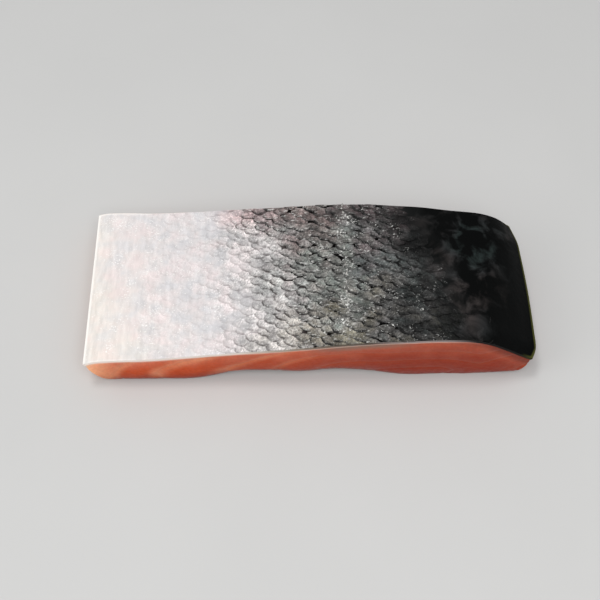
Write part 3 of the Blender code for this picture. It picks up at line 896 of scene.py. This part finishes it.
def trim_to_outline(piece, outline, reach):
    """Cut off what overhangs the outline, closing each cut, as the knife cut the scales with the skin."""
    sides = []
    flat = [Vector((p.x, p.y, 0.0)) for p in outline]
    for point, following in zip(flat, flat[1:] + flat[:1]):
        run = following - point
        sides.append((point, run, Vector((run.y, -run.x, 0.0)).normalized()))
    bm = bmesh.new()
    bm.from_mesh(piece.data)
    for group in list(islands(bm)):
        middle = sum((v.co for v in group), Vector()) / len(group)
        middle.z = 0.0
        parts = group
        for point, run, outwards in sides:
            share = min(1.0, max(0.0, (middle - point).dot(run) / run.length_squared))
            if (middle - point - run * share).length > reach:
                continue
            if not parts or max((v.co - point).dot(outwards) for v in parts) < 1e-6:
                continue
            geometry = set(parts)
            for vertex in parts:
                geometry.update(vertex.link_edges)
                geometry.update(vertex.link_faces)
            cut = bmesh.ops.bisect_plane(bm, geom=list(geometry), dist=1e-7, plane_co=point,
                                         plane_no=outwards, clear_outer=True)
            edges = [e for e in cut["geom_cut"] if isinstance(e, bmesh.types.BMEdge) and e.is_boundary]
            if edges:
                bmesh.ops.holes_fill(bm, edges=edges, sides=0)
            parts = [g for g in cut["geom"] if isinstance(g, bmesh.types.BMVert) and g.is_valid]
            parts += [g for g in cut["geom_cut"] if isinstance(g, bmesh.types.BMVert) and g.is_valid]
    loose = [v for v in bm.verts if not v.link_faces]
    bmesh.ops.delete(bm, geom=loose, context="VERTS")
    bm.to_mesh(piece.data)
    bm.free()


def scales_material():
    """Wet salmon scales: thin horny plates with silvery crystals below, dark pigment and painted shade at their
    free edges, and painted glints and highlights.

    Keratin-like IOR, a film of water over them, fine ridges that fan out to the free edge.
    """
    material, tree, output = new_material("Salmon scales, wet")
    spot = add(tree, "ShaderNodeTexCoord").outputs["Object"]
    own = add(tree, "ShaderNodeAttribute", attribute_name="on_scale")
    chance = add(tree, "ShaderNodeAttribute", attribute_name="chance").outputs["Fac"]
    on_scale = add(tree, "ShaderNodeSeparateXYZ", {0: own.outputs["Vector"]})
    place = add(tree, "ShaderNodeSeparateXYZ", {0: spot})

    across = skin_place(tree, spot)
    shift = add(tree, "ShaderNodeMapRange", {"Value": chance, "To Min": -5.0 * MM, "To Max": 5.0 * MM})
    across_scale = add(tree, "ShaderNodeMath", {0: across, 1: shift.outputs[0]}, operation="ADD")
    face = zone_ramp(tree, across_scale, 1)
    # The colour between the scales: partly pigment, partly painted crevice shade
    rim = zone_ramp(tree, across, 2)

    # Dark free edge: partly pigment, partly painted shade, the painted shade heaviest on the lower-left part of
    # each edge
    ragged = add(tree, "ShaderNodeTexNoise", {"Vector": spot, "Scale": per_mm(0.9), "Detail": 3.0})
    ragged = add(tree, "ShaderNodeMapRange", {"Value": ragged, "From Min": 0.3, "From Max": 0.7,
                                              "To Min": -0.13, "To Max": 0.13})
    edge = add(tree, "ShaderNodeMath", {0: on_scale.outputs["Z"], 1: ragged.outputs[0]}, operation="ADD")
    broader = add(tree, "ShaderNodeMapRange", {"Value": across, "From Min": 2.0 * MM, "From Max": 22.0 * MM,
                                               "To Min": 0.0, "To Max": 0.14})
    edge = add(tree, "ShaderNodeMath", {0: edge, 1: broader.outputs[0]}, operation="ADD")
    edge = add(tree, "ShaderNodeMapRange", {"Value": edge, "From Min": 0.62, "From Max": 0.95},
               interpolation_type="SMOOTHSTEP")
    painted_light_slant = add(tree, "ShaderNodeMath", {0: on_scale.outputs["X"], 1: 0.6, 2: on_scale.outputs["Y"]},
                operation="MULTIPLY_ADD")
    low = add(tree, "ShaderNodeMapRange", {"Value": painted_light_slant, "From Min": 0.1, "From Max": -0.8,
                                           "To Min": 0.35, "To Max": 1.0})
    edge = add(tree, "ShaderNodeMath", {0: edge.outputs[0], 1: low.outputs[0]}, operation="MULTIPLY")
    broken = add(tree, "ShaderNodeTexNoise", {"Vector": spot, "Scale": per_mm(3.2), "Detail": 2.0})
    broken = add(tree, "ShaderNodeMapRange", {"Value": broken, "From Min": 0.40, "From Max": 0.56,
                                              "To Min": 0.15, "To Max": 1.0})
    edge = add(tree, "ShaderNodeMath", {0: edge, 1: broken.outputs[0]}, operation="MULTIPLY")
    colour = add(tree, "ShaderNodeMix", {0: edge, 6: face.outputs[0], 7: rim.outputs[0]}, data_type="RGBA")

    # How much the scales' own marks show: hardly in the pale belly, fully on the flank
    marked = add(tree, "ShaderNodeMapRange", {"Value": across, "From Min": -42.0 * MM, "From Max": -6.0 * MM,
                                              "To Min": 0.08, "To Max": 1.0}, interpolation_type="SMOOTHSTEP")

    # Ridges that fan out, every scale a little different; painted shade and highlight across each scale, darker
    # towards its lower-left free edge and lighter towards its far side
    fan = add(tree, "ShaderNodeMapping", {"Vector": own.outputs["Vector"], "Scale": (7.0, 1.3, 0.0)})
    ridges = add(tree, "ShaderNodeTexNoise", {"Vector": fan, "W": chance, "Scale": 1.6, "Detail": 3.0},
                 noise_dimensions="4D")
    tone = add(tree, "ShaderNodeMapRange", {"Value": ridges, "From Min": 0.3, "From Max": 0.7,
                                            "To Min": 0.55, "To Max": 1.42})
    shade = add(tree, "ShaderNodeMapRange", {"Value": chance, "To Min": 0.68, "To Max": 1.26})
    tone = add(tree, "ShaderNodeMath", {0: tone.outputs[0], 1: shade.outputs[0]}, operation="MULTIPLY")
    painted_pebble_shade = add(tree, "ShaderNodeMapRange", {"Value": painted_light_slant, "From Min": -1.0, "From Max": 0.2,
                                            "To Min": 0.52, "To Max": 1.3})
    tone = add(tree, "ShaderNodeMath", {0: tone, 1: painted_pebble_shade.outputs[0]}, operation="MULTIPLY")
    worn = add(tree, "ShaderNodeTexNoise", {"Vector": spot, "Scale": per_mm(7.0), "Detail": 4.0})
    worn = add(tree, "ShaderNodeMapRange", {"Value": worn, "From Min": 0.32, "From Max": 0.68,
                                            "To Min": 0.5, "To Max": 1.46})
    tone = add(tree, "ShaderNodeMath", {0: tone, 1: worn.outputs[0]}, operation="MULTIPLY")

    # Pigment in fine dark dots
    dots = add(tree, "ShaderNodeTexNoise", {"Vector": spot, "Scale": per_mm(1.0), "Detail": 3.0,
                                            "Roughness": 0.75})
    dots = add(tree, "ShaderNodeMapRange", {"Value": dots, "From Min": 0.34, "From Max": 0.66,
                                            "To Min": 0.38, "To Max": 1.5})
    tone = add(tree, "ShaderNodeMath", {0: tone, 1: dots.outputs[0]}, operation="MULTIPLY")
    toned = add(tree, "ShaderNodeMix", {0: marked.outputs[0], 6: colour.outputs[2], 7: tone},
                data_type="RGBA", blend_type="MULTIPLY")

    # Faint casts: olive towards the tail-side cut, teal in the middle, mauve towards the head-side cut
    casts = add(tree, "ShaderNodeTexNoise", {"Vector": spot, "Scale": per_mm(11.0), "Detail": 2.0})
    casts = add(tree, "ShaderNodeMath", {0: casts, 1: 0.6, 2: 0.2}, operation="MULTIPLY_ADD")
    casts = add(tree, "ShaderNodeMath", {0: place.outputs["Y"], 1: 5.5, 2: casts}, operation="MULTIPLY_ADD")
    cast = add(tree, "ShaderNodeValToRGB", {0: casts}, stops=[
        (0.30, linear("#BBB7A6")), (0.40, linear("#BCBCBA")), (0.47, linear("#AFBBB9")), (0.54, linear("#BCBCBC")),
        (0.66, linear("#C2B0B2"))])
    cast_share = add(tree, "ShaderNodeMapRange", {"Value": across, "From Min": -26.0 * MM, "From Max": 4.0 * MM})
    white = add(tree, "ShaderNodeMix", {0: cast_share.outputs[0], 6: linear("#BCBCBC"), 7: cast.outputs[0]},
                data_type="RGBA")
    toned = add(tree, "ShaderNodeMix", {0: 1.0, 6: toned.outputs[2], 7: white.outputs[2]},
                data_type="RGBA", blend_type="MULTIPLY")
    toned = add(tree, "ShaderNodeVectorMath", {0: toned.outputs[2], 3: 2.0}, operation="SCALE")
    toned = tinted_skin(tree, spot, toned.outputs[0])

    # Bright flecks, partly crystal in the skin and partly painted glints, more of them towards the scales' edges
    # and most along the lateral line
    painted_glints_and_flecks = add(tree, "ShaderNodeTexNoise", {"Vector": spot, "Scale": per_mm(0.8), "Detail": 3.0,
                                              "Roughness": 0.7, "Distortion": 0.5})
    from_line = add(tree, "ShaderNodeMath", {0: place.outputs["X"], 1: LATERAL_LINE}, operation="SUBTRACT")
    from_line = add(tree, "ShaderNodeMath", {0: from_line}, operation="ABSOLUTE")
    on_line = add(tree, "ShaderNodeMapRange", {"Value": from_line, "From Min": 1.5 * MM, "From Max": 5.0 * MM,
                                               "To Min": 1.0, "To Max": 0.0}, interpolation_type="SMOOTHSTEP")
    groups = add(tree, "ShaderNodeTexNoise", {"Vector": spot, "Scale": per_mm(6.0), "Detail": 2.0})
    groups = add(tree, "ShaderNodeMapRange", {"Value": groups, "From Min": 0.35, "From Max": 0.65,
                                              "To Min": -0.10, "To Max": 0.03})
    painted_glints_and_flecks = add(tree, "ShaderNodeMath", {0: painted_glints_and_flecks, 1: groups.outputs[0]}, operation="ADD")
    painted_glints_and_flecks = add(tree, "ShaderNodeMath", {0: on_line.outputs[0], 1: 0.07, 2: painted_glints_and_flecks}, operation="MULTIPLY_ADD")
    painted_glints_and_flecks = add(tree, "ShaderNodeMapRange", {"Value": painted_glints_and_flecks, "From Min": 0.61, "From Max": 0.68})
    rimward = add(tree, "ShaderNodeMapRange", {"Value": on_scale.outputs["Z"], "From Min": 0.3, "From Max": 0.7,
                                               "To Min": 0.5, "To Max": 1.0})
    painted_glints_and_flecks = add(tree, "ShaderNodeMath", {0: painted_glints_and_flecks.outputs[0], 1: rimward.outputs[0]}, operation="MULTIPLY")
    silver = add(tree, "ShaderNodeMapRange", {"Value": across, "From Min": 48.0 * MM, "From Max": 28.0 * MM,
                                              "To Min": 0.0, "To Max": 0.9})
    painted_glints_and_flecks = add(tree, "ShaderNodeMath", {0: painted_glints_and_flecks, 1: silver.outputs[0]}, operation="MULTIPLY")

    # Painted highlight: a broken bright line where the film of water meets the free edge
    slim = add(tree, "ShaderNodeMapping", {"Vector": spot, "Rotation": (0.0, 0.0, radians(28.0)),
                                           "Scale": (0.5, 1.6, 1.0)})
    painted_edge_highlights = add(tree, "ShaderNodeTexNoise", {"Vector": slim, "Scale": per_mm(0.9), "Detail": 3.0,
                                               "Roughness": 0.6})
    painted_edge_highlights = add(tree, "ShaderNodeMapRange", {"Value": painted_edge_highlights, "From Min": 0.55, "From Max": 0.66})
    off_back = add(tree, "ShaderNodeMapRange", {"Value": across, "From Min": 40.0 * MM, "From Max": 0.0,
                                                "To Min": 0.0, "To Max": 0.8})
    band = add(tree, "ShaderNodeMapRange", {"Value": on_scale.outputs["Z"], "From Min": 0.45, "From Max": 0.72},
               interpolation_type="SMOOTHSTEP")
    painted_edge_highlights = add(tree, "ShaderNodeMath", {0: painted_edge_highlights.outputs[0], 1: band.outputs[0]}, operation="MULTIPLY")
    unpigmented = add(tree, "ShaderNodeMath", {0: 1.0, 1: edge}, operation="SUBTRACT")
    painted_edge_highlights = add(tree, "ShaderNodeMath", {0: painted_edge_highlights, 1: unpigmented}, operation="MULTIPLY")
    painted_edge_highlights = add(tree, "ShaderNodeMath", {0: painted_edge_highlights, 1: off_back.outputs[0]}, operation="MULTIPLY")
    painted_edge_highlights = add(tree, "ShaderNodeMath", {0: painted_edge_highlights, 1: marked.outputs[0]}, operation="MULTIPLY")
    painted_glints_and_flecks = add(tree, "ShaderNodeMath", {0: painted_glints_and_flecks, 1: painted_edge_highlights}, operation="MAXIMUM")

    lighter = add(tree, "ShaderNodeMath", {0: on_line.outputs[0], 1: 0.08}, operation="MULTIPLY")
    lined = add(tree, "ShaderNodeMix", {0: lighter, 6: toned, 7: linear("#A9A8A2")}, data_type="RGBA")
    with_glints_and_flecks = add(tree, "ShaderNodeMix", {0: painted_glints_and_flecks, 6: lined.outputs[2], 7: linear("#E6E6E2")}, data_type="RGBA")

    wet = add(tree, "ShaderNodeTexNoise", {"Vector": spot, "Scale": per_mm(0.8), "Detail": 3.0})
    height = add(tree, "ShaderNodeMath", {0: ridges, 1: 0.6, 2: wet.outputs[0]}, operation="MULTIPLY_ADD")
    rounded = add(tree, "ShaderNodeMapRange", {"Value": on_scale.outputs["Z"], "From Min": 0.45, "From Max": 1.0,
                                               "To Min": 1.6, "To Max": 0.0}, interpolation_type="SMOOTHSTEP")
    height = add(tree, "ShaderNodeMath", {0: height, 1: rounded.outputs[0]}, operation="ADD")
    height = add(tree, "ShaderNodeMath", {0: height, 1: marked.outputs[0]}, operation="MULTIPLY")
    relief = add(tree, "ShaderNodeBump", {"Height": height, "Strength": 0.9, "Distance": 0.4 * MM})
    film = add(tree, "ShaderNodeBump", {"Height": wet, "Strength": 1.0, "Distance": 0.6 * MM})
    film_share = add(tree, "ShaderNodeMapRange", {"Value": across, "From Min": 12.0 * MM, "From Max": 42.0 * MM,
                                                  "To Min": 0.6, "To Max": 0.08})
    film_share = add(tree, "ShaderNodeMath", {0: film_share.outputs[0], 1: marked.outputs[0]},
                     operation="MULTIPLY")
    surface = add(tree, "ShaderNodeBsdfPrincipled", {
        "Base Color": with_glints_and_flecks.outputs[2], "Roughness": 0.42, "IOR": 1.42, "Specular IOR Level": 0.16,
        "Normal": relief, "Coat Weight": film_share, "Coat Roughness": 0.08, "Coat IOR": 1.36,
        "Coat Normal": film})
    tree.links.new(surface.outputs[0], output.inputs["Surface"])
    return material


class FILLET_OT_scales(bpy.types.Operator):
    """Lay the overlapping scales on the skin and trim them at its edges"""
    bl_idname = "fillet.scales"
    bl_label = "Scales"

    def execute(self, context):
        settings = context.scene.fillet_scales
        outline = skin_outline()
        tail = [p for p in outline if p.y < 0.0 and abs(p.x) < HIGH.x - 6.0 * MM]
        head = [p for p in outline if p.y > 0.0 and abs(p.x) < HIGH.x - 6.0 * MM]
        head_line = np.polyfit([p.x for p in head], [p.y for p in head], 1)
        plates = bpy.data.collections.new("Scale plates")
        for number in range(PLATE_KINDS):
            plate = scale_plate(settings, number)
            context.scene.collection.objects.unlink(plate)
            plates.objects.link(plate)
        piece = bpy.data.objects.new("scales", bpy.data.meshes.new("scales"))
        context.scene.collection.objects.link(piece)
        modifier = piece.modifiers.new("Scales on skin", "NODES")
        tree = modifier.node_group = scale_tree()
        inset = 0.8 * MM
        values = {
            "Skin": bpy.data.objects["skin_sheet"], "Plates": plates,
            "Column Spacing": settings.column_spacing, "Row Spacing": settings.row_spacing,
            "Columns": 2 * round(0.5 * (HIGH.x - LOW.x) / settings.column_spacing) + 6,
            "Rows": round((HIGH.y - LOW.y) / settings.row_spacing) + 14,
            "Tail Cut": max(p.y for p in tail) + inset, "Head Cut": head_line[1] - inset,
            "Head Cut Slope": head_line[0], "Belly Edge": max(p.x for p in outline if p.x < -80.0 * MM) + inset,
            "Back Edge": max(p.x for p in outline) - 2.6 * MM,
            "Seed": settings.seed, "Material": scales_material(),
        }
        for item in tree.interface.items_tree:
            if item.in_out == "INPUT":
                modifier[item.identifier] = values[item.name]
        bake_modifiers(piece)
        for plate in list(plates.objects):
            bpy.data.objects.remove(plate)
        bpy.data.collections.remove(plates)
        if len(piece.data.polygons) < 1000:
            raise RuntimeError("no scales were laid")
        trim_to_outline(piece, outline, settings.width)
        smooth_shading(piece)
        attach(piece, "root")
        return {"FINISHED"}


# ---------------------------------------------------------------- lateral line

PORE_SIDES = 8                # sides of one pore tube
PORE_RINGS = ((-1.0, 0.0), (-0.8, 0.55), (-0.3, 1.0), (0.3, 0.9), (0.75, 0.6), (1.0, 0.25))
PORE_LIFT = 0.22 * MM         # from the skin to the top of the scales that the tubes lie on
PORE_TURN = radians(90.0)     # the tubes run along the fish


def pore_tube(settings):
    """One tube of the lateral line: a low ridge, narrow at its head end, with an open pore at the other."""
    bm = bmesh.new()
    half = 0.5 * settings.pore_length
    radius = 0.5 * settings.pore_width
    rings = []
    for along, share in PORE_RINGS:
        ring = []
        for step in range(PORE_SIDES):
            angle = 2.0 * pi * step / PORE_SIDES
            size = radius * max(share, 0.15)
            ring.append(bm.verts.new((along * half, size * cos(angle), size * 0.7 * sin(angle))))
        rings.append(ring)
    pore = [bm.verts.new((v.co.x - 0.3 * half, v.co.y * 0.5, v.co.z * 0.5)) for v in rings[-1]]
    rings.append(pore)
    for before, after in zip(rings, rings[1:]):
        for step in range(PORE_SIDES):
            following = (step + 1) % PORE_SIDES
            bm.faces.new((before[step], before[following], after[following], after[step]))
    bm.faces.new(list(reversed(rings[0])))
    bm.faces.new(rings[-1])
    for face in bm.faces:
        face.smooth = True
    bmesh.ops.recalc_face_normals(bm, faces=bm.faces)
    return as_object("pore_tube", bm)


def pore_tree():
    """Geometry Nodes that set a row of pore tubes along the lateral line."""
    tree = bpy.data.node_groups.new("Pores on lateral line", "GeometryNodeTree")
    sockets = (
        ("Skin", "NodeSocketObject"), ("Tube", "NodeSocketObject"), ("Count", "NodeSocketInt"),
        ("Start", "NodeSocketFloat"), ("Spacing", "NodeSocketFloat"), ("Place", "NodeSocketFloat"),
        ("Seed", "NodeSocketInt"), ("Material", "NodeSocketMaterial"),
    )
    for name, kind in sockets:
        tree.interface.new_socket(name, in_out="INPUT", socket_type=kind)
    tree.interface.new_socket("Geometry", in_out="OUTPUT", socket_type="NodeSocketGeometry")
    given = add(tree, "NodeGroupInput").outputs
    first = add(tree, "ShaderNodeCombineXYZ", {"X": given["Place"], "Y": given["Start"], "Z": 80.0 * MM})
    step = add(tree, "ShaderNodeCombineXYZ", {"Y": given["Spacing"]})
    line = add(tree, "GeometryNodeMeshLine", {"Count": given["Count"], "Start Location": first, "Offset": step},
               mode="OFFSET")
    shake = add(tree, "FunctionNodeRandomValue", {0: (-0.35 * MM, -0.5 * MM, 0.0), 1: (0.35 * MM, 0.5 * MM, 0.0),
                                                  "Seed": given["Seed"]}, data_type="FLOAT_VECTOR")
    line = add(tree, "GeometryNodeSetPosition", {"Geometry": line, "Offset": shake})
    skin = add(tree, "GeometryNodeObjectInfo", {"Object": given["Skin"]})
    hit = add(tree, "GeometryNodeRaycast", {"Target Geometry": skin.outputs["Geometry"],
                                            "Ray Direction": (0.0, 0.0, -1.0), "Ray Length": 0.2})
    missed = add(tree, "FunctionNodeBooleanMath", {0: hit.outputs["Is Hit"]}, operation="NOT")
    line = add(tree, "GeometryNodeDeleteGeometry", {"Geometry": line, "Selection": missed}, domain="POINT")
    facing = add(tree, "FunctionNodeAxesToRotation", {0: hit.outputs["Hit Normal"], 1: (1.0, 0.0, 0.0)},
                 primary_axis="Z", secondary_axis="X")
    swing = add(tree, "FunctionNodeRandomValue", {2: PORE_TURN - radians(9.0), 3: PORE_TURN + radians(9.0),
                                                  "Seed": 6}, data_type="FLOAT")
    swing = add(tree, "ShaderNodeCombineXYZ", {"Z": swing.outputs[1]})
    swing = add(tree, "FunctionNodeEulerToRotation", {0: swing})
    turned = add(tree, "FunctionNodeRotateRotation", {0: facing, 1: swing}, rotation_space="LOCAL")
    tubes = add(tree, "GeometryNodeObjectInfo", {"Object": given["Tube"]})
    size = add(tree, "FunctionNodeRandomValue", {2: 0.8, 3: 1.15, "Seed": given["Seed"]}, data_type="FLOAT")
    raised = add(tree, "ShaderNodeVectorMath", {0: hit.outputs["Hit Normal"], 3: PORE_LIFT}, operation="SCALE")
    resting = add(tree, "ShaderNodeVectorMath", {0: hit.outputs["Hit Position"], 1: raised}, operation="ADD")
    kept = add(tree, "GeometryNodeCaptureAttribute", {"Geometry": line})
    kept.capture_items.new("ROTATION", "Turned")
    tree.links.new(turned.outputs[0], kept.inputs["Turned"])
    line = add(tree, "GeometryNodeSetPosition", {"Geometry": kept, "Position": resting})
    pores = add(tree, "GeometryNodeInstanceOnPoints", {
        "Points": line, "Instance": tubes.outputs["Geometry"], "Rotation": kept.outputs["Turned"],
        "Scale": size.outputs[1]})
    real = add(tree, "GeometryNodeRealizeInstances", {0: pores})
    coated = add(tree, "GeometryNodeSetMaterial", {"Geometry": real, "Material": given["Material"]})
    add(tree, "NodeGroupOutput", {0: coated})
    return tree


def pore_material():
    """Horny tube of the lateral line, greyish and wet."""
    material, tree, output = new_material("Lateral line pores, wet")
    spot = add(tree, "ShaderNodeTexCoord").outputs["Object"]
    tone = add(tree, "ShaderNodeTexNoise", {"Vector": spot, "Scale": per_mm(1.2), "Detail": 3.0})
    colour = add(tree, "ShaderNodeValToRGB", {0: tone}, stops=[
        (0.35, linear("#5C5A57")), (0.52, linear("#8B8985")), (0.66, linear("#C4C3BE"))])
    relief = add(tree, "ShaderNodeBump", {"Height": tone, "Strength": 0.6, "Distance": 0.2 * MM})
    surface = add(tree, "ShaderNodeBsdfPrincipled", {
        "Base Color": colour.outputs[0], "Roughness": 0.35, "IOR": 1.42, "Normal": relief,
        "Coat Weight": 0.5, "Coat Roughness": 0.08, "Coat IOR": 1.36})
    tree.links.new(surface.outputs[0], output.inputs["Surface"])
    return material


class FILLET_OT_lateral_line(bpy.types.Operator):
    """Set the pore tubes of the lateral line on the scales"""
    bl_idname = "fillet.lateral_line"
    bl_label = "Lateral Line"

    def execute(self, context):
        settings = context.scene.fillet_line
        tube = pore_tube(settings)
        piece = bpy.data.objects.new("lateral_line", bpy.data.meshes.new("lateral_line"))
        context.scene.collection.objects.link(piece)
        modifier = piece.modifiers.new("Pores on lateral line", "NODES")
        tree = modifier.node_group = pore_tree()
        low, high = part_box("skin")
        room = high[1] - low[1] - settings.pore_spacing
        values = {
            "Skin": bpy.data.objects["skin_sheet"], "Tube": tube, "Count": int(room / settings.pore_spacing),
            "Start": low[1] + settings.pore_spacing * 0.7, "Spacing": settings.pore_spacing,
            "Place": LATERAL_LINE, "Seed": settings.seed, "Material": pore_material(),
        }
        for item in tree.interface.items_tree:
            if item.in_out == "INPUT":
                modifier[item.identifier] = values[item.name]
        bake_modifiers(piece)
        bpy.data.objects.remove(tube)
        if len(piece.data.polygons) < 100:
            raise RuntimeError("no pores were set")
        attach(piece, "root")
        return {"FINISHED"}


# ---------------------------------------------------------------- stage

CAMERA_TARGET = Vector((-3.4 * MM, -6.5 * MM, 10.0 * MM))
CAMERA_AZIMUTH = radians(-1.15)


def add_light(name, place, target, size, power):
    light = bpy.data.lights.new(name, "AREA")
    light.shape = "DISK"
    light.size = size
    light.energy = power
    holder = bpy.data.objects.new(name, light)
    holder.location = place
    holder.rotation_euler = (Vector(target) - Vector(place)).to_track_quat("-Z", "Y").to_euler()
    bpy.context.scene.collection.objects.link(holder)


class FILLET_OT_stage(bpy.types.Operator):
    """Set up the pale floor, the soft light and the camera"""
    bl_idname = "fillet.stage"
    bl_label = "Stage"

    def execute(self, context):
        settings = context.scene.fillet_stage
        scene = context.scene
        camera_data = bpy.data.cameras.new("Camera")
        camera_data.sensor_width = 36.0
        camera_data.lens = 57.6
        camera_data.clip_start = 0.01
        camera = bpy.data.objects.new("Camera", camera_data)
        flat = cos(settings.camera_elevation)
        towards = Vector((sin(CAMERA_AZIMUTH) * flat, -cos(CAMERA_AZIMUTH) * flat, sin(settings.camera_elevation)))
        camera.location = CAMERA_TARGET + towards * settings.camera_distance
        camera.rotation_euler = (-towards).to_track_quat("-Z", "Y").to_euler()
        scene.collection.objects.link(camera)
        scene.camera = camera

        bm = bmesh.new()
        bmesh.ops.create_grid(bm, x_segments=24, y_segments=24, size=3.0)
        floor_piece = as_object("floor", bm)
        material, tree, output = new_material("Pale studio floor, matt paint")
        spot = add(tree, "ShaderNodeTexCoord").outputs["Object"]
        cloud = add(tree, "ShaderNodeTexNoise", {"Vector": spot, "Scale": per_mm(90.0), "Detail": 4.0})
        tone = add(tree, "ShaderNodeMapRange", {"Value": cloud, "To Min": 0.96, "To Max": 1.04})
        colour = add(tree, "ShaderNodeMix", {0: 1.0, 6: settings.floor_colour, 7: tone.outputs[0]},
                     data_type="RGBA", blend_type="MULTIPLY")
        surface = add(tree, "ShaderNodeBsdfPrincipled", {"Base Color": colour.outputs[2], "Roughness": 0.8})
        tree.links.new(surface.outputs[0], output.inputs["Surface"])
        floor_piece.data.materials.append(material)

        add_light("Key", (-0.22, 0.10, 1.08), (0.0, 0.0, 0.0), 0.30, 3.2)
        add_light("Front", (0.1, -0.55, 0.88), (0.0, 0.0, 0.0), 0.8, 5.7)
        add_light("Side", (-1.20, -0.35, 0.55), (0.0, 0.0, 0.0), 0.9, 4.2)
        world = bpy.data.worlds.new("Soft room")
        world.use_nodes = True
        world.node_tree.nodes["Background"].inputs["Color"].default_value = (1.0, 1.0, 1.0, 1.0)
        world.node_tree.nodes["Background"].inputs["Strength"].default_value = 0.50
        scene.world = world
        scene.view_settings.view_transform = "Standard"
        return {"FINISHED"}


class FILLET_PT_panel(bpy.types.Panel):
    """The fillet's pieces, in the order they are built"""
    bl_label = "Raw Salmon Fillet"
    bl_idname = "FILLET_PT_panel"
    bl_space_type = "VIEW_3D"
    bl_region_type = "UI"
    bl_category = "Fillet"

    def draw(self, context):
        for operator in OPERATORS:
            self.layout.operator(operator.bl_idname)
        for name in SETTINGS:
            group = getattr(context.scene, name)
            for value in group.bl_rna.properties:
                if value.identifier not in {"rna_type", "name"}:
                    self.layout.prop(group, value.identifier)


SETTINGS = {"fillet_flesh": FleshSettings, "fillet_skin": SkinSettings, "fillet_scales": ScaleSettings,
            "fillet_line": LineSettings, "fillet_stage": StageSettings}
OPERATORS = (FILLET_OT_stage, FILLET_OT_flesh, FILLET_OT_skin, FILLET_OT_scales, FILLET_OT_lateral_line)


def register():
    for kind in (*SETTINGS.values(), *OPERATORS, FILLET_PT_panel):
        bpy.utils.register_class(kind)
    for name, kind in SETTINGS.items():
        setattr(bpy.types.Scene, name, bpy.props.PointerProperty(type=kind))


def unregister():
    for name in SETTINGS:
        delattr(bpy.types.Scene, name)
    for kind in (FILLET_PT_panel, *reversed(OPERATORS), *reversed(SETTINGS.values())):
        bpy.utils.unregister_class(kind)


def main():
    register()
    bpy.ops.fillet.stage()
    bpy.ops.fillet.flesh()
    bpy.ops.fillet.skin()
    bpy.ops.fillet.scales()
    bpy.ops.fillet.lateral_line()


if __name__ == "__main__":
    main()
